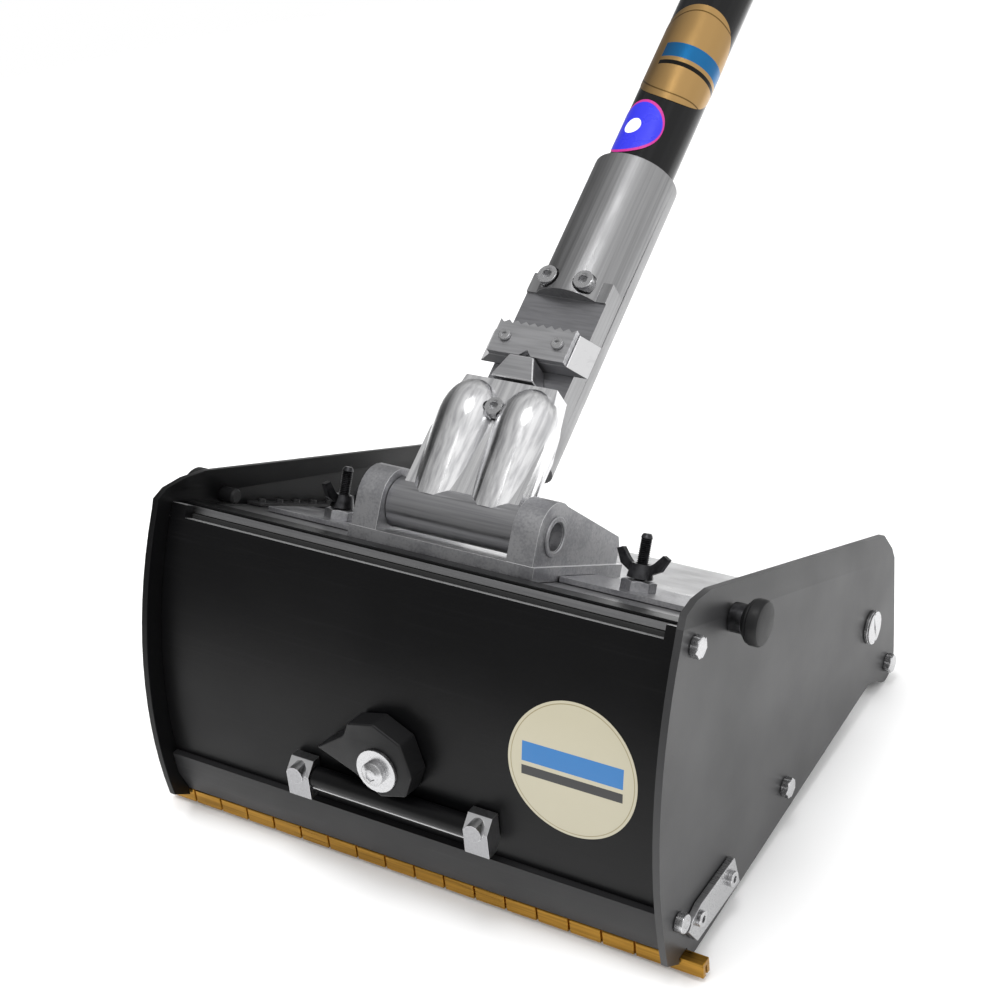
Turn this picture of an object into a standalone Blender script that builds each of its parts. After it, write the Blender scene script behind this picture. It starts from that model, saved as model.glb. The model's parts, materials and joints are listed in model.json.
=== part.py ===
"""Drywall flat finishing box on its box handle, modelled piece by piece.

Frame: +X across the blade, +Y away from the blade towards the wheels and the handle's grip, +Z up.
The box stands on its blade and its two wheels, on z = 0. Every size is in metres.
"""

import math

import bmesh
import bpy
from mathutils import Matrix, Vector

# ---------------------------------------------------------------- driving sizes
BOX_WIDTH = 0.254          # over the side plates, a ten inch box
SHEET = 0.003              # side plate thickness
GAP = 0.0003               # between pieces that touch
CLEAR = 0.0003             # round a pin or a screw in its hole

FRONT_RADIUS = 0.2004      # lid hinge to the front plate's outer face
FRONT_THICK = 0.005        # front plate
FRONT_TOP_Z = 0.1430       # height of the front plate's top edge
EDGE_LIP = 0.009           # side plates stand this far proud of the front plate
HINGE_Z = 0.0444           # lid hinge height
NOSE_Z = 0.0127            # height of the side plates' front tip

AXLE_BACK = 0.0208         # axle behind the lid hinge
WHEEL_RADIUS = 0.0115
WHEEL_WIDTH = 0.008
AXLE_RADIUS = 0.003
LOBE_RADIUS = 0.0100       # side plate round the axle
FOLD_WIDTH = 0.011         # stiffening fold along the side plates' top edge
FOLD_ANGLE = math.radians(15)

LID_DROP = math.radians(0.8)      # the raised lid lies this far below the front plate's top
LID_THICK = 0.003
LID_UNDER = 0.005          # lid underside above the hinge axis
LID_SIDE_GAP = 0.0012
SEAL_WIDTH = 0.009
SEAL_THICK = 0.003

BAR_TOP_Z = 0.0340         # blade holder bar
BAR_BOTTOM_Z = 0.0102
BRASS_REACH = 0.010        # brass blade carrier past the side plates
BRASS_Y = 0.0100
BRASS_DEPTH = 0.0057
BRASS_Z = 0.0018
BRASS_HEIGHT = 0.0071
BLADE_THICK = 0.0006

LATCH_BACK = 0.0345         # latch pin behind the front plate, along the lid
LATCH_RISE = 0.0124        # and above the lid hinge

DIAL_ANGLE = math.radians(6.9)    # dial axis above the level line through the hinge
DIAL_THICK = 0.011
DIAL_SCREW_RADIUS = 0.0030
DIAL_WASHER_RADIUS = 0.0095
CLIP_ANGLE = math.radians(1.0)
CLIP_X = 0.0445
CLIP_WIDTH = 0.0115
SPRING_BAR_RADIUS = 0.0045

BOLT_RADIUS = 0.0020
BOLT_HEAD_RADIUS = 0.0044
BOLT_HEAD_HEIGHT = 0.0032
ROD_RADIUS = 0.0025

PIVOT_FORWARD = 0.1638     # handle pivot ahead of the lid hinge, along the lid
PIVOT_RISE = 0.0265        # and above it
LUG_INNER = 0.0320
LUG_OUTER = 0.0445
LUG_RADIUS = 0.0145
BASE_THICK = 0.006
BARREL_RADIUS = 0.0110
PIN_RADIUS = 0.0057
STUD_X = 0.075
STUD_FORWARD = 0.143
STUD_RADIUS = 0.0025
WING_TURN = {"left": math.radians(75), "right": math.radians(-8)}    # how the wing nuts stand

HANDLE_ANGLE = math.radians(33)   # handle above the floor
HANDLE_LENGTH = 0.860      # pivot to the grip's end
TUBE_RADIUS = 0.015875     # 1 1/4 inch tube
TUBE_WALL = 0.0016
TUBE_START = 0.124         # where the tube starts inside the sleeve
AXIS_DROP = 0.0153         # tube axis under the pivot
SLEEVE_WALL = 0.004125     # round the tube
SLEEVE_END = 0.186
CHANNEL_START = 0.036
CHANNEL_TOP = -0.0030      # flat front of the channel
NECK = 0.112
ARM_TOP = 0.0090           # front face of the arm's block
ARM_LENGTH = 0.061
FLUTE_RADIUS = 0.0125
FLUTE_X = 0.0140
GRIP_LENGTH = 0.150
GRIP_WALL = 0.003125       # round the tube
LEVER_FROM_END = 0.222     # lever pivot ahead of the grip's end
LEVER_DROP = 0.026         # lever pivot under the tube axis
LEVER_ARM = 0.0240         # lever pivot to the tip that pushes the brake rod
BRAKE_ROD_RADIUS = 0.0040
SHOE_START = 0.0115        # brake shoe, from the pivot along the handle
SHOE_END = 0.0330
SHOE_RADIUS = 0.0065
ARM_SCREW = 0.0460         # screws along the handle, from the pivot
PLATE_SCREW = (0.0131, 0.0825)
SLEEVE_SCREW = (0.0090, 0.1180)
ARM_SHANK = 0.0025
PLATE_SHANK = 0.0014
SLEEVE_SHANK = 0.0015

# ---------------------------------------------------------------- worked-out places
HALF = BOX_WIDTH / 2
BRASS_HALF = HALF + BRASS_REACH
INNER = HALF - SHEET
EDGE_RADIUS = FRONT_RADIUS + EDGE_LIP
FRONT_INNER = FRONT_RADIUS - FRONT_THICK
NOSE_ANGLE = math.asin((NOSE_Z - HINGE_Z) / EDGE_RADIUS)
HINGE_Y = EDGE_RADIUS * math.cos(NOSE_ANGLE)
FRONT_TOP_ANGLE = math.asin((FRONT_TOP_Z - HINGE_Z) / FRONT_RADIUS)
LID_ANGLE = FRONT_TOP_ANGLE - LID_DROP
LID_TOP = LID_UNDER + LID_THICK
SLEEVE_RADIUS = TUBE_RADIUS + SLEEVE_WALL
GRIP_RADIUS = TUBE_RADIUS + GRIP_WALL
LID_HALF = INNER - LID_SIDE_GAP
LID_REACH = FRONT_INNER - 0.0016
PIVOT_Y = HINGE_Y - PIVOT_FORWARD * math.cos(LID_ANGLE) + PIVOT_RISE * math.sin(LID_ANGLE)
PIVOT_Z = HINGE_Z + PIVOT_FORWARD * math.sin(LID_ANGLE) + PIVOT_RISE * math.cos(LID_ANGLE)
DIAL_REACH = FRONT_RADIUS + DIAL_THICK + 0.0056
FOREMOST = HINGE_Y - DIAL_REACH * math.cos(DIAL_ANGLE) - DIAL_SCREW_RADIUS * math.sin(DIAL_ANGLE)
GRIP_END_Y = HANDLE_LENGTH * math.cos(HANDLE_ANGLE)
REARMOST = PIVOT_Y + GRIP_END_Y + (AXIS_DROP + GRIP_RADIUS) * math.sin(HANDLE_ANGLE)
MIDDLE_Y = (FOREMOST + REARMOST) / 2
ARM_BACK = CHANNEL_TOP + GAP

FINISHES = {
    "black_anodised": ((0.012, 0.012, 0.013, 1), 0.42, 0.6),
    "grey_anodised": ((0.07, 0.07, 0.072, 1), 0.45, 0.7),
    "cast_aluminium": ((0.55, 0.55, 0.56, 1), 0.38, 1.0),
    "brass": ((0.60, 0.38, 0.10, 1), 0.35, 1.0),
    "steel": ((0.50, 0.50, 0.51, 1), 0.28, 1.0),
    "rubber": ((0.02, 0.02, 0.02, 1), 0.75, 0.0),
    "black_plastic": ((0.015, 0.015, 0.015, 1), 0.5, 0.0),
    "black_tube": ((0.014, 0.014, 0.015, 1), 0.25, 0.4),
}

ALONG_X = Matrix(((0, 0, 1, 0), (1, 0, 0, 0), (0, 1, 0, 0), (0, 0, 0, 1)))
ALONG_Y = Matrix(((1, 0, 0, 0), (0, 0, -1, 0), (0, 1, 0, 0), (0, 0, 0, 1)))
ALONG_Z = Matrix.Identity(4)
REARWARD = Matrix.Rotation(-math.pi / 2, 4, "X")


# ---------------------------------------------------------------- scene and helpers
def clear_scene():
    """Remove every object, so the script can be run again."""
    for obj in list(bpy.data.objects):
        bpy.data.objects.remove(obj, do_unlink=True)


def new_collection(name):
    """Add a collection to the scene."""
    collection = bpy.data.collections.new(name)
    bpy.context.scene.collection.children.link(collection)
    return collection


def finish_material(finish):
    """The Principled material of a named finish."""
    name = "finish_" + finish
    if name in bpy.data.materials:
        return bpy.data.materials[name].copy()
    colour, roughness, metallic = FINISHES[finish]
    material = bpy.data.materials.new(name)
    material.use_nodes = True
    shader = material.node_tree.nodes["Principled BSDF"]
    shader.inputs["Base Color"].default_value = colour
    shader.inputs["Roughness"].default_value = roughness
    shader.inputs["Metallic"].default_value = metallic
    return material


def add_object(name, mesh, finish, parent, place):
    """A named piece with its finish, or a cutter when finish is None."""
    obj = bpy.data.objects.new(name, mesh)
    if finish is None:
        TOOLS.objects.link(obj)
        obj.hide_render = True
        obj.display_type = "WIRE"
    else:
        PARTS.objects.link(obj)
        mesh.materials.append(finish_material(finish))
    obj.parent = parent
    obj.matrix_local = place
    return obj


def axis_empty(name, parent, location, angle=0.0):
    """An empty on a joint's axis, turned about X."""
    empty = bpy.data.objects.new(name, None)
    PARTS.objects.link(empty)
    empty.parent = parent
    empty.matrix_local = Matrix.Translation(location) @ Matrix.Rotation(angle, 4, "X")
    return empty


def box(name, finish, parent, low, high):
    """A block between two corners."""
    low = Vector(low)
    high = Vector(high)
    size = high - low
    build = bmesh.new()
    bmesh.ops.create_cube(build, size=1.0, matrix=Matrix.Diagonal((size.x, size.y, size.z, 1)))
    mesh = bpy.data.meshes.new(name)
    build.to_mesh(mesh)
    build.free()
    return add_object(name, mesh, finish, parent, Matrix.Translation((low + high) / 2))


def rod(name, finish, parent, centre, axis, radius, length, sides=16, tip=None):
    """A round bar, a hexagon or a cone; axis is one of the ALONG matrices or a rotation."""
    build = bmesh.new()
    bmesh.ops.create_cone(
        build,
        cap_ends=True,
        segments=sides,
        radius1=radius,
        radius2=radius if tip is None else tip,
        depth=length,
    )
    mesh = bpy.data.meshes.new(name)
    build.to_mesh(mesh)
    build.free()
    if sides > 8:
        mesh.shade_smooth()
        mesh.set_sharp_from_angle(angle=math.radians(40))
    return add_object(name, mesh, finish, parent, Matrix.Translation(centre) @ axis)


def outline(name, finish, parent, points, thickness, axis, centre=(0, 0, 0)):
    """A flat outline made solid: a filled 2D curve, extruded by half its thickness each way."""
    curve = bpy.data.curves.new(name, "CURVE")
    curve.dimensions = "2D"
    curve.fill_mode = "BOTH"
    curve.extrude = thickness / 2
    spline = curve.splines.new("POLY")
    spline.points.add(len(points) - 1)
    for point, (across, up) in zip(spline.points, points):
        point.co = (across, up, 0, 1)
    spline.use_cyclic_u = True
    source = bpy.data.objects.new(name + "_curve", curve)
    TOOLS.objects.link(source)
    graph = bpy.context.evaluated_depsgraph_get()
    mesh = bpy.data.meshes.new_from_object(source.evaluated_get(graph))
    bpy.data.objects.remove(source, do_unlink=True)
    build = bmesh.new()
    build.from_mesh(mesh)
    bmesh.ops.remove_doubles(build, verts=build.verts, dist=0.000001)
    bmesh.ops.recalc_face_normals(build, faces=build.faces)
    build.to_mesh(mesh)
    build.free()
    mesh.name = name
    mesh.materials.clear()
    return add_object(name, mesh, finish, parent, Matrix.Translation(centre) @ axis)


def turned(name, finish, parent, centre, axis, profile, steps=24, closed=False):
    """A turned shape: a profile of (radius, height) from top to bottom, turned about its axis."""
    mesh = bpy.data.meshes.new(name)
    build = bmesh.new()
    verts = [build.verts.new((radius, 0, height)) for radius, height in profile]
    for first, second in zip(verts, verts[1:]):
        build.edges.new((first, second))
    if closed:
        build.edges.new((verts[-1], verts[0]))
    build.to_mesh(mesh)
    build.free()
    obj = add_object(name, mesh, finish, parent, Matrix.Translation(centre) @ axis)
    screw = obj.modifiers.new("turn", "SCREW")
    screw.axis = "Z"
    screw.steps = steps
    screw.render_steps = steps
    screw.use_merge_vertices = True
    screw.merge_threshold = 0.000002
    screw.use_smooth_shade = True
    return obj


def combine(target, operand, operation):
    """Join an operand to a piece, or cut it out."""
    modifier = target.modifiers.new(operation.lower() + "_" + operand.name, "BOOLEAN")
    modifier.operation = operation
    modifier.solver = "EXACT"
    modifier.object = operand


def unite(target, *operands):
    """Join operands to a piece."""
    for operand in operands:
        combine(target, operand, "UNION")


def cut(target, *operands):
    """Cut operands out of a piece."""
    for operand in operands:
        combine(target, operand, "DIFFERENCE")


def arc(radius, start, end, steps):
    """Points on an arc about the lid hinge, in the (Y, Z) plane; angles rise from the front."""
    points = []
    for step in range(steps + 1):
        angle = start + (end - start) * step / steps
        points.append((HINGE_Y - radius * math.cos(angle), HINGE_Z + radius * math.sin(angle)))
    return points


def circle_points(centre, radius, start, end, steps):
    """Points on an arc about any centre, angles from the first axis."""
    points = []
    for step in range(steps + 1):
        angle = math.radians(start + (end - start) * step / steps)
        points.append((centre[0] + radius * math.cos(angle), centre[1] + radius * math.sin(angle)))
    return points


def on_side(side, *values):
    """X limits on one side: side is -1 for left and 1 for right."""
    return sorted(side * value for value in values)


# ---------------------------------------------------------------- the box
AXLE_Y = HINGE_Y + AXLE_BACK
SLOPE_START = (0.0160, 0.0016)
SLOPE_END = (HINGE_Y - 0.0007, 0.0129)
ROD_PLACE = (HINGE_Y - 0.0970, 0.0220)
LATCH_ALONG = FRONT_RADIUS - LATCH_BACK
LATCH_PLACE = (
    HINGE_Y - LATCH_ALONG * math.cos(LID_ANGLE) + LATCH_RISE * math.sin(LID_ANGLE),
    HINGE_Z + LATCH_ALONG * math.sin(LID_ANGLE) + LATCH_RISE * math.cos(LID_ANGLE),
)
FRONT_BOLT_ANGLE = FRONT_TOP_ANGLE
HOLDER_SCREW = (0.0100, 0.0280)


def floor_slope():
    """Angle of the wall-side edge over the floor."""
    return math.atan2(SLOPE_END[1] - SLOPE_START[1], SLOPE_END[0] - SLOPE_START[0])


def side_profile():
    """Outline of a side plate in (Y, Z)."""
    top_angle = FRONT_TOP_ANGLE + math.radians(0.4)
    front = arc(EDGE_RADIUS, NOSE_ANGLE, top_angle, 14)
    corner = front[-1]
    points = [SLOPE_START]
    points += front
    points += [
        (corner[0] + 0.0020, corner[1] + 0.0042),
        (corner[0] + 0.0075, corner[1] + 0.0072),
        (corner[0] + 0.0180, corner[1] + 0.0070),
        (corner[0] + 0.0310, corner[1] + 0.0042),
        (HINGE_Y + 0.0250, HINGE_Z + 0.0344),
        (HINGE_Y + 0.0303, HINGE_Z + 0.0250),
        (AXLE_Y + LOBE_RADIUS, HINGE_Z - 0.0100),
    ]
    points += circle_points((AXLE_Y, WHEEL_RADIUS), LOBE_RADIUS, 0, -145, 8)
    points.append(SLOPE_END)
    return points


def fold_top_edge(obj, side):
    """Lean the band along the plate's top edge inwards, about a line under that edge."""
    profile = side_profile()
    rear = Vector((profile[20][0], profile[20][1]))
    front = Vector((profile[19][0], profile[19][1]))
    along = (rear - front).normalized()
    up = Vector((-along.y, along.x))
    crease = front - up * FOLD_WIDTH
    build = bmesh.new()
    build.from_mesh(obj.data)
    bmesh.ops.bisect_plane(
        build,
        geom=build.verts[:] + build.edges[:] + build.faces[:],
        plane_co=(crease.x, crease.y, 0),
        plane_no=(up.x, up.y, 0),
        dist=0.00001,
    )
    for vert in build.verts:
        height = (Vector((vert.co.x, vert.co.y)) - crease).dot(up)
        if height > 0:
            vert.co.z -= side * height * math.tan(FOLD_ANGLE)
    build.to_mesh(obj.data)
    build.free()


def hole_through_side(name, place, radius, side):
    """A cutter through one side plate."""
    centre = (side * (HALF - SHEET / 2), place[0], place[1])
    return rod(name, None, TOOL_FRAME, centre, ALONG_X, radius, SHEET * 3, 12)


def make_side_plate(side, label):
    """One side plate with its fold, its screw holes and the slot for the brass carrier."""
    centre = (side * (HALF - SHEET / 2), 0, 0)
    plate = outline(
        label + "_side_plate", "black_anodised", TOOL_FRAME, side_profile(), SHEET, ALONG_X, centre
    )
    fold_top_edge(plate, side)
    slot_low, slot_high = on_side(side, HALF - SHEET * 2, HALF + SHEET)
    slot = box(
        label + "_carrier_slot",
        None,
        TOOL_FRAME,
        (slot_low, BRASS_Y - GAP * 2, -0.005),
        (slot_high, BRASS_Y + BRASS_DEPTH + GAP * 2, BRASS_Z + BRASS_HEIGHT + GAP),
    )
    front_bolt = arc(FRONT_RADIUS - FRONT_THICK / 2, FRONT_BOLT_ANGLE, FRONT_BOLT_ANGLE, 1)[0]
    holes = [
        ("hinge", (HINGE_Y, HINGE_Z), 0.0030 + CLEAR),
        ("axle", (AXLE_Y, WHEEL_RADIUS), AXLE_RADIUS + CLEAR),
        ("rod", ROD_PLACE, ROD_RADIUS + CLEAR),
        ("latch", LATCH_PLACE, 0.0035 + CLEAR),
        ("front", front_bolt, BOLT_RADIUS + CLEAR),
        ("holder", HOLDER_SCREW, BOLT_RADIUS + CLEAR),
    ]
    cut(plate, slot)
    for hole, place, radius in holes:
        cut(plate, hole_through_side(label + "_hole_" + hole, place, radius, side))
    return plate


def make_front_plate():
    """The curved front: an arc about the hinge, with an ear at each top corner for its bolt."""
    bottom_angle = math.asin((BAR_TOP_Z + GAP - HINGE_Z) / FRONT_RADIUS)
    outer = arc(FRONT_RADIUS, bottom_angle, FRONT_TOP_ANGLE, 14)
    inner = arc(FRONT_INNER, bottom_angle, FRONT_TOP_ANGLE, 14)
    width = 2 * (INNER - GAP)
    plate = outline("front_plate", "black_anodised", TOOL_FRAME, outer + inner[::-1], width, ALONG_X)
    ear_start = FRONT_TOP_ANGLE - math.radians(3)
    ear_end = FRONT_TOP_ANGLE + math.radians(1.6)
    ear_points = arc(FRONT_RADIUS, ear_start, ear_end, 3) + arc(FRONT_INNER, ear_start, ear_end, 3)[::-1]
    bolt = arc(FRONT_RADIUS - FRONT_THICK / 2, FRONT_BOLT_ANGLE, FRONT_BOLT_ANGLE, 1)[0]
    ear_width = 0.008
    for side, label in SIDES:
        middle = (side * (INNER - GAP - ear_width / 2), 0, 0)
        ear = outline(label + "_ear", None, TOOL_FRAME, ear_points, ear_width, ALONG_X, middle)
        unite(plate, ear)
        tapped = rod(
            label + "_tapped",
            None,
            TOOL_FRAME,
            (side * INNER, bolt[0], bolt[1]),
            ALONG_X,
            BOLT_RADIUS + CLEAR,
            0.014,
            12,
        )
        cut(plate, tapped)
    stud_hole = rod(
        "dial_screw_hole",
        None,
        DIAL_AXIS,
        (0, 0, 0),
        ALONG_Y,
        DIAL_SCREW_RADIUS + CLEAR,
        FRONT_THICK * 4,
        12,
    )
    cut(plate, stud_hole)
    return plate


def make_bottom_plate():
    """The wall-side plate: it ends short of the brass carrier, which leaves the outlet slot."""
    slope = floor_slope()
    thick = 0.002
    start = (0.0250, SLOPE_START[1] + 0.0020)
    length = HINGE_Y - 0.0060 - start[0]
    direction = (math.cos(slope), math.sin(slope))
    normal = (-direction[1], direction[0])
    rear = (start[0] + direction[0] * length, start[1] + direction[1] * length)
    wall_top = HINGE_Z - 0.0085
    points = [
        start,
        rear,
        (rear[0], wall_top),
        (rear[0] - thick, wall_top),
        (rear[0] - thick, rear[1] + thick),
        (start[0] + normal[0] * thick, start[1] + normal[1] * thick),
    ]
    return outline("bottom_plate", "grey_anodised", TOOL_FRAME, points, 2 * (INNER - GAP), ALONG_X)


def make_blade_group():
    """Blade holder bar, brass carrier and steel blade."""
    back = HINGE_Y - math.sqrt((FRONT_INNER + 0.0005) ** 2 - (HINGE_Z - BAR_TOP_Z) ** 2)
    front_top = HINGE_Y - math.sqrt((FRONT_RADIUS + 0.0029) ** 2 - (HINGE_Z - BAR_TOP_Z) ** 2)
    points = [
        (front_top, BAR_TOP_Z),
        (back, BAR_TOP_Z),
        (back, BAR_TOP_Z - 0.0070),
        (BRASS_Y + 0.0057, BAR_TOP_Z - 0.0120),
        (BRASS_Y + 0.0057, BAR_BOTTOM_Z),
        (BRASS_Y - 0.0007, BAR_BOTTOM_Z),
        (front_top + 0.0010, BAR_TOP_Z - 0.0122),
    ]
    bar = outline("blade_holder_bar", "grey_anodised", TOOL_FRAME, points, 2 * (INNER - GAP), ALONG_X)
    brass = box(
        "brass_blade_carrier",
        "brass",
        TOOL_FRAME,
        (-BRASS_HALF, BRASS_Y, BRASS_Z),
        (BRASS_HALF, BRASS_Y + BRASS_DEPTH, BRASS_Z + BRASS_HEIGHT),
    )
    blade_low = BRASS_Y + BRASS_DEPTH / 2 - BLADE_THICK / 2
    blade_high = blade_low + BLADE_THICK
    blade_top = BRASS_Z + 0.0045
    slot = box(
        "blade_slot",
        None,
        TOOL_FRAME,
        (-BRASS_HALF - 0.01, blade_low - GAP, -0.01),
        (BRASS_HALF + 0.01, blade_high + GAP, blade_top + GAP),
    )
    cut(brass, slot)
    box("steel_blade", "steel", TOOL_FRAME, (-HALF, blade_low, 0), (HALF, blade_high, blade_top))
    for side, label in SIDES:
        hole = rod(
            label + "_bar_hole",
            None,
            TOOL_FRAME,
            (side * INNER, HOLDER_SCREW[0], HOLDER_SCREW[1]),
            ALONG_X,
            BOLT_RADIUS + CLEAR,
            0.016,
            12,
        )
        cut(bar, hole)
    return bar


def side_screw(name, finish, place, shank, shank_length, head, head_height, side, sides=16):
    """A screw through a side plate: its head outside, its shank inwards."""
    head_start = HALF + GAP
    head_centre = (side * (head_start + head_height / 2), place[0], place[1])
    screw = rod(name, finish, TOOL_FRAME, head_centre, ALONG_X, head, head_height, sides)
    shank_end = head_start + head_height / 2
    shank_centre = (side * (shank_end - shank_length / 2), place[0], place[1])
    unite(screw, rod(name + "_shank", None, TOOL_FRAME, shank_centre, ALONG_X, shank, shank_length, 12))
    return screw


def make_cross_rod(name, place, radius):
    """A rod through both side plates with a hexagon head outside each."""
    reach = HALF + GAP + BOLT_HEAD_HEIGHT
    piece = rod(name, "steel", TOOL_FRAME, (0, place[0], place[1]), ALONG_X, radius, 2 * reach, 12)
    for side, label in SIDES:
        centre = (side * (HALF + GAP + BOLT_HEAD_HEIGHT / 2), place[0], place[1])
        head = rod(name + label, None, TOOL_FRAME, centre, ALONG_X, BOLT_HEAD_RADIUS, BOLT_HEAD_HEIGHT, 6)
        unite(piece, head)
    return piece


def make_side_fittings(side, label):
    """Hinge screw, front bolt, blade holder screw, skid plate and latch bush of one side."""
    front_bolt = arc(FRONT_RADIUS - FRONT_THICK / 2, FRONT_BOLT_ANGLE, FRONT_BOLT_ANGLE, 1)[0]
    hinge_screw = side_screw(
        label + "_hinge_screw", "steel", (HINGE_Y, HINGE_Z), 0.0030, 0.0150, 0.0078, 0.0022, side, 20
    )
    slot = box(
        label + "_driver_slot",
        None,
        TOOL_FRAME,
        (min(on_side(side, HALF + 0.0016, HALF + 0.010)), HINGE_Y - 0.0006, HINGE_Z - 0.009),
        (max(on_side(side, HALF + 0.0016, HALF + 0.010)), HINGE_Y + 0.0006, HINGE_Z + 0.009),
    )
    cut(hinge_screw, slot)
    side_screw(
        label + "_front_bolt",
        "steel",
        front_bolt,
        BOLT_RADIUS,
        0.0110,
        BOLT_HEAD_RADIUS,
        BOLT_HEAD_HEIGHT,
        side,
        6,
    )
    side_screw(label + "_holder_screw", "steel", HOLDER_SCREW, BOLT_RADIUS, 0.0120, 0.0038, 0.0034, side)
    skid_points = [
        (0.0125, 0.0213),
        (0.0194, 0.0112),
        (0.0583, 0.0112),
        (0.0546, 0.0266),
        (0.0236, 0.0266),
        (0.0165, 0.0240),
    ]
    skid_centre = (side * (HALF + GAP + 0.0015), 0, 0)
    outline(label + "_skid_plate", "steel", TOOL_FRAME, skid_points, 0.003, ALONG_X, skid_centre)
    bush_radius = 0.0060
    bush_length = 0.0055
    bush_centre = (side * (HALF + GAP + bush_length / 2), LATCH_PLACE[0], LATCH_PLACE[1])
    bush = rod(
        label + "_latch_bush", "steel", TOOL_FRAME, bush_centre, ALONG_X, bush_radius, bush_length, 16
    )
    bore = rod(label + "_bush_bore", None, TOOL_FRAME, bush_centre, ALONG_X, 0.0035 + CLEAR, 0.012, 12)
    cut(bush, bore)


def make_latch_knob(side, label):
    """The sprung latch: a knob outside and a pin that stands over the lid inside."""
    turn = Matrix.Rotation(side * math.pi / 2, 4, "Y")
    start = HALF + GAP + 0.0055 + GAP
    knob_length = 0.0080
    pin_end = INNER - 0.0080
    profile = [
        (0.0, start + knob_length),
        (0.0080, start + knob_length),
        (0.0093, start + knob_length - 0.0013),
        (0.0093, start + 0.0030),
        (0.0072, start),
        (0.0035, start),
        (0.0035, pin_end + 0.0010),
        (0.0025, pin_end),
        (0.0, pin_end),
    ]
    axis = axis_empty(label + "_latch_axis", TOOL_FRAME, (0, LATCH_PLACE[0], LATCH_PLACE[1]))
    turned(label + "_latch_knob", "black_plastic", axis, (0, 0, 0), turn, profile, 18)


def make_wheel(side, label):
    """A wheel on the rear axle, inside the side plate."""
    axis = axis_empty(label + "_wheel_axis", TOOL_FRAME, (0, AXLE_Y, WHEEL_RADIUS))
    middle = INNER - 0.0010 - WHEEL_WIDTH / 2
    bore = AXLE_RADIUS + CLEAR
    half = WHEEL_WIDTH / 2
    profile = [
        (bore, half),
        (WHEEL_RADIUS - 0.0008, half),
        (WHEEL_RADIUS, half - 0.0008),
        (WHEEL_RADIUS, 0.0008 - half),
        (WHEEL_RADIUS - 0.0008, -half),
        (bore, -half),
    ]
    turn = Matrix.Rotation(side * math.pi / 2, 4, "Y")
    turned(label + "_wheel", "black_plastic", axis, (side * middle, 0, 0), turn, profile, 28, closed=True)


def make_dial():
    """The crown dial: a cam with a pointed nose, its screw and washer, the spring bar and its clips."""
    points = [
        (-0.0312, 0.0016),
        (-0.0121, -0.0055),
        (0.0006, -0.0129),
        (0.0129, -0.0094),
        (0.0164, 0.0006),
        (0.0115, 0.0144),
        (-0.0016, 0.0205),
        (-0.0144, 0.0176),
        (-0.0167, 0.0115),
    ]
    middle = -GAP - DIAL_THICK / 2
    dial = outline("crown_dial", "black_plastic", DIAL_AXIS, points, DIAL_THICK, ALONG_Y, (0, middle, 0))
    cut(
        dial,
        rod("dial_bore", None, DIAL_AXIS, (0, middle, 0), ALONG_Y, DIAL_SCREW_RADIUS + CLEAR, 0.03, 16),
    )
    head_at = -GAP - DIAL_THICK - GAP
    reach = DIAL_THICK + FRONT_THICK
    shank_at = (0, head_at - 0.0010 + reach / 2, 0)
    shank = rod("dial_screw", "steel", DIAL_AXIS, shank_at, ALONG_Y, DIAL_SCREW_RADIUS, reach, 16)
    washer = rod(
        "dial_washer", None, DIAL_AXIS, (0, head_at - 0.0007, 0), ALONG_Y, DIAL_WASHER_RADIUS, 0.0014, 24
    )
    dome = rod(
        "dial_screw_dome", None, DIAL_AXIS, (0, head_at - 0.0029, 0), ALONG_Y, 0.0052, 0.0042, 16, 0.0030
    )
    unite(shank, washer, dome)


def make_spring_bar():
    """The spring bar under the dial and the two clips that hold it."""
    half_span = CLIP_X - CLIP_WIDTH / 2 - GAP
    height = 0.0022
    depth = -GAP - SPRING_BAR_RADIUS
    piece = rod(
        "spring_bar",
        "black_anodised",
        CLIP_AXIS,
        (0, depth, height),
        ALONG_X,
        SPRING_BAR_RADIUS,
        2 * half_span,
        16,
    )
    clip_points = [
        (-0.0098, -0.0068),
        (-0.0040, -0.0068),
        (-0.0006, -0.0020),
        (-0.0006, 0.0098),
        (-0.0048, 0.0098),
        (-0.0098, 0.0045),
    ]
    for side, label in SIDES:
        centre = (side * CLIP_X, 0, 0)
        clip = outline(label + "_bar_clip", "steel", CLIP_AXIS, clip_points, CLIP_WIDTH, ALONG_X, centre)
        screw_centre = (side * CLIP_X, -0.0085, 0.0052)
        unite(clip, rod(label + "_clip_head", None, CLIP_AXIS, screw_centre, ALONG_Y, 0.0040, 0.0060, 12))
    return piece


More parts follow.
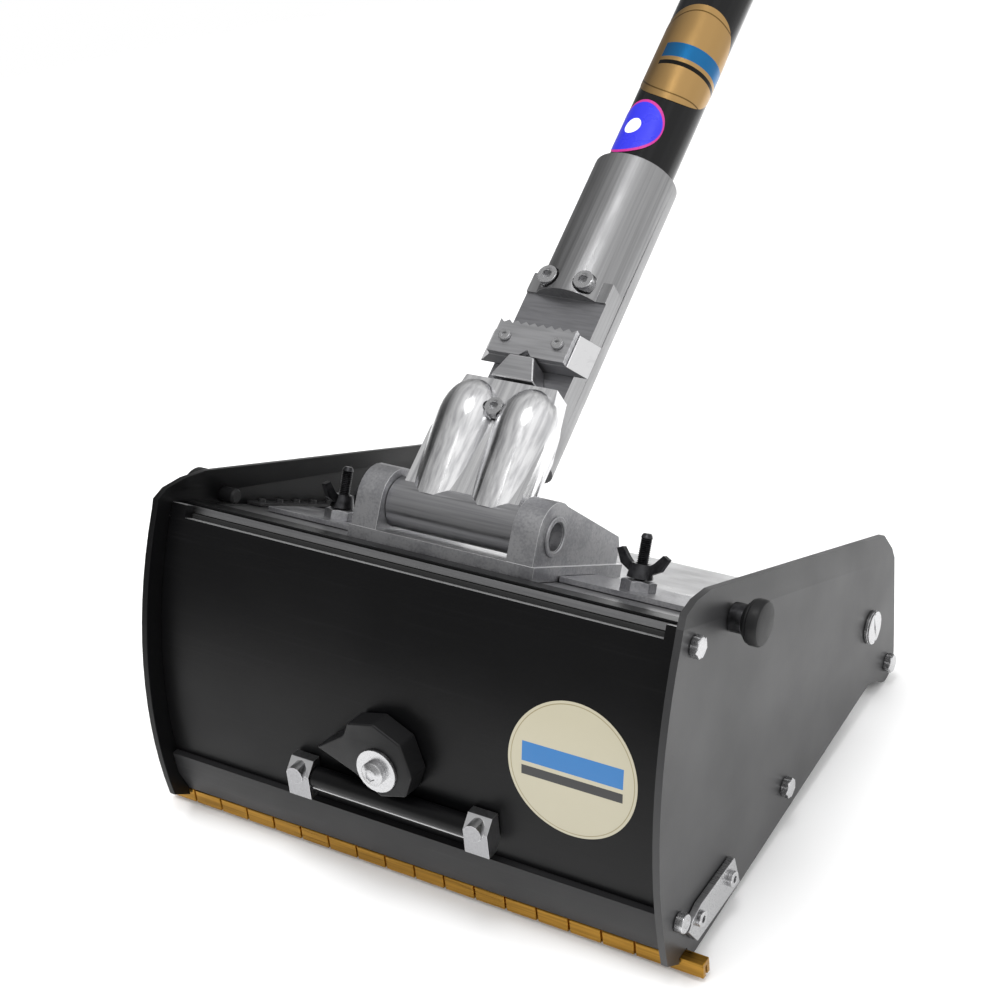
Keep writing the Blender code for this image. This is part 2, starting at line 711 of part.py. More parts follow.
# ---------------------------------------------------------------- the lid and the handle bracket
def make_lid():
    """The pressure lid with a hinge boss at each rear corner, and the seal under its edge."""
    lid = box(
        "pressure_lid",
        "cast_aluminium",
        LID_AXIS,
        (-LID_HALF, -LID_REACH, LID_UNDER),
        (LID_HALF, 0.0060, LID_TOP),
    )
    boss_width = 0.0100
    for side, label in SIDES:
        low, high = on_side(side, LID_HALF - boss_width, LID_HALF)
        boss_points = [(0.0058, LID_UNDER + 0.001)] + circle_points((0, 0), 0.0058, 0, -180, 8)
        boss_points.append((-0.0058, LID_UNDER + 0.001))
        boss = outline(
            label + "_hinge_boss",
            None,
            LID_AXIS,
            boss_points,
            boss_width,
            ALONG_X,
            ((low + high) / 2, 0, 0),
        )
        unite(lid, boss)
        cut(
            lid,
            rod(
                label + "_hinge_bore",
                None,
                LID_AXIS,
                (side * LID_HALF, 0, 0),
                ALONG_X,
                0.0030 + CLEAR,
                0.03,
                12,
            ),
        )
        cut(lid, stud_cutter(label + "_lid_stud_hole", side))
    seal_out = INNER - GAP
    seal_in = seal_out - SEAL_WIDTH
    reach = FRONT_INNER - GAP
    points = [
        (-seal_out, -reach),
        (seal_out, -reach),
        (seal_out, -0.0140),
        (seal_in, -0.0140),
        (seal_in, -reach + SEAL_WIDTH),
        (-seal_in, -reach + SEAL_WIDTH),
        (-seal_in, -0.0140),
        (-seal_out, -0.0140),
    ]
    height = LID_UNDER - GAP - SEAL_THICK / 2
    outline("lid_seal", "rubber", LID_AXIS, points, SEAL_THICK, ALONG_Z, (0, 0, height))


def stud_cutter(name, side):
    """Clearance for a bracket stud through the lid and the clamp bar."""
    return rod(
        name,
        None,
        LID_AXIS,
        (side * STUD_X, -STUD_FORWARD, LID_TOP),
        ALONG_Z,
        STUD_RADIUS + CLEAR,
        0.04,
        12,
    )


def make_seal_strip(side, label):
    """The strip that clamps the seal along one side of the lid, with its row of screw heads."""
    low, high = on_side(side, LID_HALF - 0.0080, LID_HALF - 0.0004)
    front = -0.1500
    rear = -0.0200
    base = LID_TOP + GAP
    strip = box(
        label + "_seal_strip", "grey_anodised", LID_AXIS, (low, front, base), (high, rear, base + 0.0015)
    )
    count = 10
    for index in range(count):
        along = front + 0.0060 + (rear - front - 0.0120) * index / (count - 1)
        centre = ((low + high) / 2, along, base + 0.0018)
        unite(
            strip,
            rod(label + "_strip_screw_" + str(index), None, LID_AXIS, centre, ALONG_Z, 0.0019, 0.0024, 8),
        )


def make_bracket():
    """The handle bracket: a base plate with two bored lugs, on the lid."""
    base_low = LID_TOP + GAP
    base_high = base_low + BASE_THICK
    bracket = box(
        "handle_bracket",
        "cast_aluminium",
        LID_AXIS,
        (-LUG_OUTER - 0.0010, -0.1790, base_low),
        (LUG_OUTER + 0.0010, -0.1000, base_high),
    )
    pivot = (-PIVOT_FORWARD, PIVOT_RISE)
    lug_points = [(-0.1790, base_low)]
    lug_points += circle_points(pivot, LUG_RADIUS, 180, 60, 8)
    lug_points += [
        (-0.1060, base_high + 0.0120),
        (-0.1040, base_high + 0.0080),
        (-0.1040, base_low),
    ]
    for side, label in SIDES:
        middle = side * (LUG_INNER + LUG_OUTER) / 2
        lug = outline(
            label + "_lug", None, LID_AXIS, lug_points, LUG_OUTER - LUG_INNER, ALONG_X, (middle, 0, 0)
        )
        unite(bracket, lug)
    centre = (0, pivot[0], pivot[1])
    cut(bracket, rod("lug_bore", None, LID_AXIS, centre, ALONG_X, PIN_RADIUS + CLEAR, 0.12, 20))
    rod("pivot_pin", "steel", LID_AXIS, centre, ALONG_X, PIN_RADIUS, 2 * LUG_OUTER - 0.010, 20)


def make_clamp(side, label):
    """Clamp bar, hexagon stud and wing nut that hold the bracket on one side."""
    low, high = on_side(side, LUG_OUTER + 0.0015, STUD_X + 0.0300)
    bar_low = LID_TOP + GAP
    bar_high = bar_low + 0.0022
    bar = box(
        label + "_clamp_bar",
        "grey_anodised",
        LID_AXIS,
        (low, -STUD_FORWARD - 0.0140, bar_low),
        (high, -STUD_FORWARD + 0.0200, bar_high),
    )
    cut(bar, stud_cutter(label + "_bar_stud_hole", side))
    hex_height = 0.0045
    hex_low = bar_high + GAP
    place = (side * STUD_X, -STUD_FORWARD)
    stud_low = LID_UNDER + 0.0005
    stud_high = hex_low + hex_height + 0.0190
    stud_middle = (place[0], place[1], (stud_low + stud_high) / 2)
    stud = rod(
        label + "_stud", "steel", LID_AXIS, stud_middle, ALONG_Z, STUD_RADIUS, stud_high - stud_low, 12
    )
    hex_middle = (place[0], place[1], hex_low + hex_height / 2)
    unite(stud, rod(label + "_stud_hex", None, LID_AXIS, hex_middle, ALONG_Z, 0.0075, hex_height, 6))
    axis = axis_empty(label + "_wing_axis", LID_AXIS, (place[0], place[1], 0))
    nut_low = hex_low + hex_height + GAP
    hub_height = 0.0060
    hub = rod(
        label + "_wing_nut",
        "steel",
        axis,
        (0, 0, nut_low + hub_height / 2),
        ALONG_Z,
        0.0056,
        hub_height,
        16,
        0.0044,
    )
    stand = Matrix.Rotation(WING_TURN[label], 4, "Z") @ ALONG_Y
    for hand, wing_label in SIDES:
        wing_points = [
            (hand * 0.0030, nut_low + 0.0010),
            (hand * 0.0098, nut_low + 0.0045),
            (hand * 0.0128, nut_low + 0.0100),
            (hand * 0.0100, nut_low + 0.0113),
            (hand * 0.0066, nut_low + 0.0075),
            (hand * 0.0035, nut_low + 0.0050),
        ]
        unite(hub, outline(label + wing_label + "_wing", None, axis, wing_points, 0.0026, stand))
    bore_middle = (0, 0, nut_low + hub_height / 2)
    cut(hub, rod(label + "_wing_bore", None, axis, bore_middle, ALONG_Z, STUD_RADIUS + CLEAR, 0.04, 12))


# ---------------------------------------------------------------- the handle
def make_arm():
    """The pivoting arm: barrel, tapered block and two domed flutes in one casting."""
    barrel_half = LUG_INNER - GAP
    arm = rod(
        "pivot_arm", "cast_aluminium", HANDLE_AXIS, (0, 0, 0), ALONG_X, BARREL_RADIUS, 2 * barrel_half, 28
    )
    block_points = [
        (-0.0280, 0.0030),
        (0.0280, 0.0030),
        (0.0280, 0.0330),
        (0.0225, ARM_LENGTH),
        (-0.0225, ARM_LENGTH),
        (-0.0280, 0.0330),
    ]
    middle = (0, 0, (ARM_TOP + ARM_BACK) / 2)
    block = outline("arm_block", None, HANDLE_AXIS, block_points, ARM_TOP - ARM_BACK, ALONG_Z, middle)
    unite(arm, block)
    tilt = math.radians(11)
    for side, label in SIDES:
        lean = Matrix.Rotation(tilt, 4, "X") @ REARWARD
        flute = rod(
            label + "_flute",
            None,
            HANDLE_AXIS,
            (side * FLUTE_X, 0.0300, 0.0030),
            lean,
            FLUTE_RADIUS,
            0.0420,
            24,
        )
        dome_at = (side * (FLUTE_X - 0.0008), 0.0547, 0.0078)
        dome = rod(
            label + "_flute_dome",
            None,
            HANDLE_AXIS,
            dome_at,
            lean,
            FLUTE_RADIUS - 0.0003,
            0.0090,
            24,
            0.0078,
        )
        unite(arm, flute, dome)
    under = box("arm_underside", None, HANDLE_AXIS, (-0.05, 0.0115, -0.05), (0.05, 0.10, ARM_BACK))
    cut(arm, under)
    cut(arm, rod("arm_bore", None, HANDLE_AXIS, (0, 0, 0), ALONG_X, PIN_RADIUS + CLEAR, 0.12, 20))
    seat_low = ARM_TOP + 0.0008
    cut(
        arm,
        rod("arm_screw_hole", None, HANDLE_AXIS, (0, ARM_SCREW, 0), ALONG_Z, ARM_SHANK + CLEAR, 0.08, 12),
    )
    seat_middle = (0, ARM_SCREW, seat_low + 0.010)
    cut(arm, rod("arm_screw_seat", None, HANDLE_AXIS, seat_middle, ALONG_Z, 0.0048, 0.020, 16))
    deep_screw("arm_screw", (0, ARM_SCREW), seat_low, 0.0042, 0.0040, ARM_SHANK, CHANNEL_TOP - 0.0055)


def deep_screw(name, place, seat, head_radius, head_height, shank_radius, tip):
    """A screw square to the handle's front: its head over a seat, its shank down to a depth."""
    low = seat + GAP
    across, along = place
    head_middle = (across, along, low + head_height / 2)
    screw = rod(name, "steel", HANDLE_AXIS, head_middle, ALONG_Z, head_radius, head_height, 16)
    top = low + head_height / 2
    shank_middle = (across, along, (top + tip) / 2)
    unite(
        screw, rod(name + "_shank", None, HANDLE_AXIS, shank_middle, ALONG_Z, shank_radius, top - tip, 12)
    )


def screw_hole(name, place, shank_radius, top, tip):
    """A cutter for a screw's shank, from above a face to just past the screw's tip."""
    across, along = place
    middle = (across, along, (top + tip - GAP) / 2)
    return rod(name, None, HANDLE_AXIS, middle, ALONG_Z, shank_radius + CLEAR, top - tip + GAP, 12)


def make_brake_stack():
    """Wedge block, chamfered cradle, toothed plate and its two screws, ahead of the arm."""
    wedge_points = [(-0.0105, 0.0620), (0.0105, 0.0620), (0.0060, 0.0735), (-0.0060, 0.0735)]
    wedge_middle = (0, 0, (0.0105 + ARM_BACK) / 2)
    outline(
        "wedge_block", "cast_aluminium", HANDLE_AXIS, wedge_points, 0.0105 - ARM_BACK, ALONG_Z, wedge_middle
    )
    cradle_start = 0.0745
    cradle_end = 0.0905
    cradle_top = 0.0050
    cradle_points = [
        (-0.0270, ARM_BACK),
        (0.0270, ARM_BACK),
        (0.0195, cradle_top),
        (-0.0195, cradle_top),
    ]
    middle = (0, (cradle_start + cradle_end) / 2, 0)
    cradle = outline(
        "plate_cradle",
        "cast_aluminium",
        HANDLE_AXIS,
        cradle_points,
        cradle_end - cradle_start,
        ALONG_Y,
        middle,
    )
    plate_low = cradle_top + GAP
    plate_high = plate_low + 0.0030
    teeth = 9
    pitch = 0.038 / teeth
    plate_points = [(-0.0190, cradle_start), (-0.0030, cradle_start), (0, cradle_start + 0.0030)]
    plate_points += [(0.0030, cradle_start), (0.0190, cradle_start)]
    for index in range(teeth):
        right = 0.0190 - index * pitch
        plate_points.append((right, cradle_end + 0.0006))
        plate_points.append((right - pitch / 2, cradle_end - 0.0010))
    plate_points.append((-0.0190, cradle_end + 0.0006))
    plate_middle = (0, 0, (plate_low + plate_high) / 2)
    plate = outline(
        "toothed_plate",
        "cast_aluminium",
        HANDLE_AXIS,
        plate_points,
        plate_high - plate_low,
        ALONG_Z,
        plate_middle,
    )
    for side, label in SIDES:
        place = (side * PLATE_SCREW[0], PLATE_SCREW[1])
        for target, suffix in ((plate, "_plate_hole"), (cradle, "_cradle_hole")):
            cut(target, screw_hole(label + suffix, place, PLATE_SHANK, plate_high + 0.01, ARM_BACK - 0.01))
        deep_screw(
            label + "_plate_screw", place, plate_high, 0.0027, 0.0016, PLATE_SHANK, CHANNEL_TOP - 0.0050
        )


def make_head_casting():
    """The head: the sleeve that holds the tube, and the flat-fronted channel down to the pivot."""
    length = SLEEVE_END - CHANNEL_START
    middle = (SLEEVE_END + CHANNEL_START) / 2
    head = rod(
        "head_casting",
        "cast_aluminium",
        HANDLE_AXIS,
        (0, middle, -AXIS_DROP),
        REARWARD,
        SLEEVE_RADIUS,
        length,
        36,
    )
    cheek = box(
        "channel_cheek",
        None,
        HANDLE_AXIS,
        (-SLEEVE_RADIUS + 0.0001, CHANNEL_START + 0.0002, -AXIS_DROP),
        (SLEEVE_RADIUS - 0.0001, NECK + 0.0100, CHANNEL_TOP + 0.0010),
    )
    unite(head, cheek)
    front = box("channel_front", None, HANDLE_AXIS, (-0.04, 0, CHANNEL_TOP), (0.04, NECK, 0.04))
    cut(head, front)
    bore_start = TUBE_START - GAP
    bore_end = SLEEVE_END + 0.005
    bore_middle = (0, (bore_start + bore_end) / 2, -AXIS_DROP)
    cut(
        head,
        rod(
            "sleeve_bore",
            None,
            HANDLE_AXIS,
            bore_middle,
            REARWARD,
            TUBE_RADIUS + GAP,
            bore_end - bore_start,
            32,
        ),
    )
    bore_radius = BRAKE_ROD_RADIUS + 0.0010
    rod_bore_middle = (0, (TUBE_START + 0.035) / 2, -AXIS_DROP)
    rod_bore_length = TUBE_START - 0.025
    cut(
        head,
        rod(
            "brake_rod_bore", None, HANDLE_AXIS, rod_bore_middle, REARWARD, bore_radius, rod_bore_length, 16
        ),
    )
    cut(head, screw_hole("arm_screw_tap", (0, ARM_SCREW), ARM_SHANK, 0.01, CHANNEL_TOP - 0.0055))
    for side, label in SIDES:
        place = (side * PLATE_SCREW[0], PLATE_SCREW[1])
        cut(head, screw_hole(label + "_plate_tap", place, PLATE_SHANK, 0.01, CHANNEL_TOP - 0.0050))
        place = (side * SLEEVE_SCREW[0], SLEEVE_SCREW[1])
        seat_low = 0.0002
        seat_middle = (place[0], place[1], seat_low + 0.010)
        cut(head, rod(label + "_sleeve_seat", None, HANDLE_AXIS, seat_middle, ALONG_Z, 0.0053, 0.020, 16))
        cut(head, screw_hole(label + "_sleeve_tap", place, SLEEVE_SHANK, 0.01, -0.0080))
        deep_screw(label + "_sleeve_screw", place, seat_low, 0.0046, 0.0050, SLEEVE_SHANK, -0.0010)


def make_pole():
    """Tube, grip, lever bracket, lever, lever pin and the brake rod inside."""
    tube_end = HANDLE_LENGTH - 0.0060
    tube_length = tube_end - TUBE_START
    inner = TUBE_RADIUS - TUBE_WALL
    half = tube_length / 2
    profile = [(inner, half), (TUBE_RADIUS, half), (TUBE_RADIUS, -half), (inner, -half)]
    middle = (0, (TUBE_START + tube_end) / 2, -AXIS_DROP)
    tube = turned("handle_tube", "black_tube", HANDLE_AXIS, middle, REARWARD, profile, 32, closed=True)
    lever_s = HANDLE_LENGTH - LEVER_FROM_END
    slot = box(
        "lever_slot",
        None,
        HANDLE_AXIS,
        (-0.0045, lever_s - 0.0120, -AXIS_DROP - TUBE_RADIUS - 0.004),
        (0.0045, lever_s + 0.0120, -AXIS_DROP),
    )
    cut(tube, slot)
    fit = TUBE_RADIUS + GAP
    grip_profile = [
        (0.0, 0.0),
        (GRIP_RADIUS - 0.0040, 0.0),
        (GRIP_RADIUS, -0.0040),
        (GRIP_RADIUS, -GRIP_LENGTH + 0.0060),
        (GRIP_RADIUS + 0.0020, -GRIP_LENGTH + 0.0030),
        (GRIP_RADIUS + 0.0020, -GRIP_LENGTH),
        (fit, -GRIP_LENGTH),
        (fit, -0.0060 + GAP),
        (0.0, -0.0060 + GAP),
    ]
    turned("rubber_grip", "rubber", HANDLE_AXIS, (0, HANDLE_LENGTH, -AXIS_DROP), REARWARD, grip_profile, 28)
    make_lever_bracket(lever_s, fit)
    make_lever(lever_s)
    rod_start = SHOE_END - 0.0050
    rod_end = lever_s - 0.0038
    rod_middle = (0, (rod_start + rod_end) / 2, -AXIS_DROP)
    piece = rod(
        "brake_rod", "steel", ROD_AXIS, rod_middle, REARWARD, BRAKE_ROD_RADIUS, rod_end - rod_start, 16
    )
    shoe_middle = (0, (SHOE_START + SHOE_END) / 2, -AXIS_DROP)
    unite(
        piece,
        rod("brake_shoe", None, ROD_AXIS, shoe_middle, REARWARD, SHOE_RADIUS, SHOE_END - SHOE_START, 20),
    )


def make_lever_bracket(lever_s, fit):
    """The collar round the tube with two ears for the lever, and the pin through them."""
    ring_length = 0.0300
    collar = rod(
        "lever_bracket",
        "cast_aluminium",
        HANDLE_AXIS,
        (0, lever_s, -AXIS_DROP),
        REARWARD,
        TUBE_RADIUS + 0.0035,
        ring_length,
        28,
    )
    pivot_n = -AXIS_DROP - LEVER_DROP
    ears = box(
        "lever_ears",
        None,
        HANDLE_AXIS,
        (-0.0085, lever_s - 0.0080, pivot_n - 0.0070),
        (0.0085, lever_s + 0.0080, -AXIS_DROP - 0.0100),
    )
    unite(collar, ears)
    cut(collar, rod("collar_bore", None, HANDLE_AXIS, (0, lever_s, -AXIS_DROP), REARWARD, fit, 0.08, 32))
    gap = box(
        "ear_gap",
        None,
        HANDLE_AXIS,
        (-0.0048, lever_s - 0.0140, pivot_n - 0.020),
        (0.0048, lever_s + 0.0140, -AXIS_DROP - 0.0100),
    )
    cut(collar, gap)
    pin_place = (0, lever_s, pivot_n)
    cut(collar, rod("ear_bore", None, HANDLE_AXIS, pin_place, ALONG_X, 0.0025 + CLEAR, 0.05, 12))
    rod("lever_pin", "steel", HANDLE_AXIS, pin_place, ALONG_X, 0.0025, 0.0190, 12)


def make_lever(lever_s):
    """The brake lever: a short arm into the tube's slot and a long finger blade under the grip."""
    points = [
        (0.0040, LEVER_ARM),
        (-0.0030, LEVER_ARM),
        (-0.0055, 0.0040),
        (-0.0052, -0.0030),
        (0.0, -0.0060),
        (0.0300, -0.0140),
        (0.1000, -0.0300),
        (0.1400, -0.0330),
        (0.1440, -0.0290),
        (0.1400, -0.0250),
        (0.1000, -0.0215),
        (0.0300, -0.0040),
        (0.0055, 0.0045),
    ]
    lever = outline("brake_lever", "cast_aluminium", LEVER_AXIS, points, 0.0085, ALONG_X)
    cut(lever, rod("lever_bore", None, LEVER_AXIS, (0, 0, 0), ALONG_X, 0.0025 + CLEAR, 0.05, 12))


# ---------------------------------------------------------------- build
clear_scene()
PARTS = new_collection("flat_finishing_box")
TOOLS = new_collection("cutters")
SIDES = ((-1, "left"), (1, "right"))

TOOL_FRAME = axis_empty("tool_frame", None, (0, -MIDDLE_Y, 0))
LID_AXIS = axis_empty("lid_axis", TOOL_FRAME, (0, HINGE_Y, HINGE_Z), -LID_ANGLE)
DIAL_AXIS = axis_empty(
    "dial_axis",
    TOOL_FRAME,
    (0, HINGE_Y - FRONT_RADIUS * math.cos(DIAL_ANGLE), HINGE_Z + FRONT_RADIUS * math.sin(DIAL_ANGLE)),
    -DIAL_ANGLE,
)
CLIP_AXIS = axis_empty(
    "clip_place",
    TOOL_FRAME,
    (0, HINGE_Y - FRONT_RADIUS * math.cos(CLIP_ANGLE), HINGE_Z + FRONT_RADIUS * math.sin(CLIP_ANGLE)),
    -CLIP_ANGLE,
)
HANDLE_AXIS = axis_empty("handle_axis", TOOL_FRAME, (0, PIVOT_Y, PIVOT_Z), HANDLE_ANGLE)
LEVER_AXIS = axis_empty(
    "lever_axis", HANDLE_AXIS, (0, HANDLE_LENGTH - LEVER_FROM_END, -AXIS_DROP - LEVER_DROP)
)
ROD_AXIS = axis_empty("rod_axis", HANDLE_AXIS, (0, 0, 0))
bpy.context.view_layer.update()

for side_sign, side_label in SIDES:
    make_side_plate(side_sign, side_label)
    make_side_fittings(side_sign, side_label)
    make_latch_knob(side_sign, side_label)
    make_wheel(side_sign, side_label)
    make_seal_strip(side_sign, side_label)
    make_clamp(side_sign, side_label)
make_front_plate()
make_bottom_plate()
make_blade_group()
make_cross_rod("tie_rod", ROD_PLACE, ROD_RADIUS)
make_cross_rod("rear_axle", (AXLE_Y, WHEEL_RADIUS), AXLE_RADIUS)
make_dial()
make_spring_bar()
make_lid()
make_bracket()
make_arm()
make_brake_stack()
make_head_casting()
make_pole()
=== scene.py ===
"""Looks of the drywall flat finishing box and its handle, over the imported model."""
import json
import logging
import math
from collections.abc import Callable, Iterable
from dataclasses import dataclass
from enum import Enum

import bpy
from mathutils import Matrix, Vector

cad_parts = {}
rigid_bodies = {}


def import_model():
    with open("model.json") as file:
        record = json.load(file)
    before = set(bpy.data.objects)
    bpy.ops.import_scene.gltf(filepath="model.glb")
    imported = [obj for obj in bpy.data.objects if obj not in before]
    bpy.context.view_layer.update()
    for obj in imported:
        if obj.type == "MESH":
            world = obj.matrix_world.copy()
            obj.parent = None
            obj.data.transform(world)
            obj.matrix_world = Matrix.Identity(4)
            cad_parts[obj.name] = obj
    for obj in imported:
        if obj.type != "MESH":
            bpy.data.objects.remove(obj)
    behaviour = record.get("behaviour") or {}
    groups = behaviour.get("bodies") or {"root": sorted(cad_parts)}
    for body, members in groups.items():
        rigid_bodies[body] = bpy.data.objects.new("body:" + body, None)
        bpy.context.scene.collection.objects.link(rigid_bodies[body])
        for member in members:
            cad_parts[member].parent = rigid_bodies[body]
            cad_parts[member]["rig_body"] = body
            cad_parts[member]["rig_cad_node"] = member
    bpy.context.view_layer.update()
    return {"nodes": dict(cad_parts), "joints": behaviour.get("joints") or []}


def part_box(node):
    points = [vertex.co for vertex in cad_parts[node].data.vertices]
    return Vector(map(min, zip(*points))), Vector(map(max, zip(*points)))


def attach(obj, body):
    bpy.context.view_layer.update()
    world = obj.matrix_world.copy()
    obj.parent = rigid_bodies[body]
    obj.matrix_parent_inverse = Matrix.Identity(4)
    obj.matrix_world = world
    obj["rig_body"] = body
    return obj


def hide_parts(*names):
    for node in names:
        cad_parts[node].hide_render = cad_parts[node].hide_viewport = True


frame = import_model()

LOG = logging.getLogger("flat_box")
JOINTS = {joint["name"]: joint for joint in frame["joints"]}

Point = tuple[float, float]
Place = Matrix
Piece = bpy.types.Object
Material = bpy.types.Material
Tree = bpy.types.NodeTree
Node = bpy.types.Node
Socket = bpy.types.NodeSocket


class Side(Enum):
    """Left and right of the tool, seen from its curved front."""

    LEFT = -1
    RIGHT = 1

    @property
    def label(self) -> str:
        """The side's name as the pieces carry it."""
        return self.name.lower()

    @property
    def facing(self) -> Place:
        """The turn that points Z outwards on this side."""
        return Matrix.Rotation(self.value * math.pi / 2, 4, "Y")


# ---------------------------------------------------------------- places
def move(across: float, along: float, up: float) -> Place:
    """A shift along X, Y and Z in metres."""
    return Matrix.Translation((across, along, up))


def spin(degrees: float, axis: str) -> Place:
    """A turn about one axis, in degrees."""
    return Matrix.Rotation(math.radians(degrees), 4, axis)


def joint_place(name: str, turn: float) -> Place:
    """A frame on a joint's axis.

    Args:
        name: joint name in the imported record.
        turn: turn about X in degrees.

    Returns:
        The matrix from that frame to the world.
    """
    return Matrix.Translation(JOINTS[name]["pos_m"]) @ spin(turn, "X")


LID_TURN = -28.6732
HANDLE_TURN = 33.0
DIAL_TURN = -6.9
CLIP_TURN = -1.0
LID = joint_place("lid_hinge", LID_TURN)
HANDLE = joint_place("handle_pivot", HANDLE_TURN)
LEVER = joint_place("brake_lever_pivot", HANDLE_TURN)
DIAL = joint_place("dial_turn", DIAL_TURN)
HINGE = Vector(JOINTS["lid_hinge"]["pos_m"])
FRONT_RADIUS = 0.2004
FRONT_THICK = 0.005
AXIS_DROP = 0.0153
HANDLE_LENGTH = 0.860
FILM_GAP = 0.00006


def front_place(angle: float, across: float = 0.0) -> Place:
    """A frame on the front plate's face: X across, Y into the plate, Z up the face.

    Args:
        angle: angle above the hinge's level, in degrees.
        across: place along X in metres.

    Returns:
        The matrix from that frame to the world.
    """
    turn = math.radians(angle)
    y = HINGE.y - FRONT_RADIUS * math.cos(turn)
    z = HINGE.z + FRONT_RADIUS * math.sin(turn)
    return move(across, y, z) @ Matrix.Rotation(-turn, 4, "X")


HERE = Matrix.Identity(4)
TO_X = Matrix.Rotation(math.pi / 2, 4, "Y")
TO_Y = Matrix.Rotation(-math.pi / 2, 4, "X")
OUTWARD = Matrix.Rotation(math.pi / 2, 4, "X")
IN_YZ = Matrix(((0, 0, 1, 0), (1, 0, 0, 0), (0, 1, 0, 0), (0, 0, 0, 1)))


# ---------------------------------------------------------------- modelling
def deselect() -> None:
    """Deselect every object."""
    bpy.ops.object.select_all(action="DESELECT")


def pick(obj: Piece) -> None:
    """Select one object alone and make it active."""
    deselect()
    obj.select_set(True)
    bpy.context.view_layer.objects.active = obj


def edit(obj: Piece, work: Callable[[], None]) -> None:
    """Run some work in edit mode with the whole mesh selected."""
    pick(obj)
    bpy.ops.object.mode_set(mode="EDIT")
    bpy.ops.mesh.select_all(action="SELECT")
    work()
    bpy.ops.object.mode_set(mode="OBJECT")


def settle(obj: Piece, name: str, place: Place) -> Piece:
    """Name a piece and put its place into its mesh.

    Args:
        obj: the piece, modelled round its own origin.
        name: the piece's name.
        place: where it goes.

    Returns:
        The same object, at the origin.
    """
    obj.data.transform(place @ obj.matrix_world)
    obj.matrix_world = HERE
    obj.name = name
    obj.data.name = name
    return obj


def apply_modifier(obj: Piece, kind: str, **settings: object) -> None:
    """Add a modifier, set it and apply it."""
    pick(obj)
    modifier = obj.modifiers.new(kind.lower(), kind)
    for key, value in settings.items():
        setattr(modifier, key, value)
    bpy.ops.object.modifier_apply(modifier=modifier.name)


def soften(obj: Piece, width: float, segments: int = 2, angle: float = 32.0) -> None:
    """Break a piece's sharp edges and shade it smooth between them.

    Args:
        obj: the piece.
        width: bevel width in metres.
        segments: bevel segments.
        angle: edges sharper than this many degrees are broken.
    """
    apply_modifier(
        obj,
        "BEVEL",
        width=width,
        segments=segments,
        limit_method="ANGLE",
        angle_limit=math.radians(angle),
        use_clamp_overlap=True,
        miter_outer="MITER_ARC",
    )
    shade(obj)


def shade(obj: Piece) -> None:
    """Shade smooth between sharp edges, with the large flat faces kept flat."""
    pick(obj)
    bpy.ops.object.shade_smooth_by_angle(angle=math.radians(40))
    apply_modifier(obj, "WEIGHTED_NORMAL", mode="FACE_AREA", weight=90, keep_sharp=True)


def coat(obj: Piece, finish: "Finish", chosen: Callable[[Vector, Vector], bool]) -> None:
    """Give some faces of a dressed piece a second finish.

    Args:
        obj: the piece, at the origin.
        finish: the second finish.
        chosen: tells from a face's centre and normal whether it takes that finish.
    """
    obj.data.materials.append(DRESSER.material(finish))
    index = len(obj.data.materials) - 1
    for face in obj.data.polygons:
        if chosen(face.center, face.normal):
            face.material_index = index


def wear(obj: Piece, finish: "Finish", width: float) -> None:
    """Give a dressed piece's broken edges a second finish.

    Args:
        obj: the piece.
        finish: the finish of the edges.
        width: faces narrower than this many metres count as edges.
    """
    obj.data.materials.append(DRESSER.material(finish))
    index = len(obj.data.materials) - 1
    verts = obj.data.vertices
    for face in obj.data.polygons:
        sides = [(verts[a].co - verts[b].co).length for a, b in face.edge_keys]
        if min(sides) < width < max(sides) / 2:
            face.material_index = index


def refine(node: str, width: float, segments: int = 2) -> Piece:
    """A finer copy of a CAD node, its facets joined and its edges broken, in the node's place.

    Args:
        node: the node's name.
        width: bevel width in metres.
        segments: bevel segments.

    Returns:
        The copy.
    """
    source = frame["nodes"][node]
    obj = source.copy()
    obj.data = source.data.copy()
    obj.parent = None
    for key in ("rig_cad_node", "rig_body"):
        if key in obj:
            del obj[key]
    bpy.context.scene.collection.objects.link(obj)
    obj.name = node + "_fine"
    obj.data.name = node + "_fine"
    obj.data.materials.clear()

    def work() -> None:
        """Merge the facets into whole faces."""
        bpy.ops.mesh.remove_doubles(threshold=0.00001)
        bpy.ops.mesh.dissolve_limited(angle_limit=math.radians(0.6))

    edit(obj, work)
    if width > 0:
        soften(obj, width, segments)
    else:
        shade(obj)
    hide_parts(node)
    return obj


def prism(name: str, points: list[Point], depth: float, place: Place) -> Piece:
    """A flat outline drawn in XY and extruded both ways along Z.

    Args:
        name: the piece's name.
        points: outline corners, counter-clockwise.
        depth: full thickness.
        place: where it goes.

    Returns:
        The prism.
    """
    deselect()
    bpy.ops.mesh.primitive_circle_add(vertices=len(points), radius=0.01, fill_type="NGON")
    obj = bpy.context.object
    for vert, (across, up) in zip(obj.data.vertices, points):
        vert.co = (across, up, -depth / 2)

    def work() -> None:
        """Pull the face up into a solid."""
        bpy.ops.mesh.extrude_region_move(TRANSFORM_OT_translate={"value": (0, 0, depth)})
        bpy.ops.mesh.select_all(action="SELECT")
        bpy.ops.mesh.normals_make_consistent(inside=False)

    edit(obj, work)
    return settle(obj, name, place)


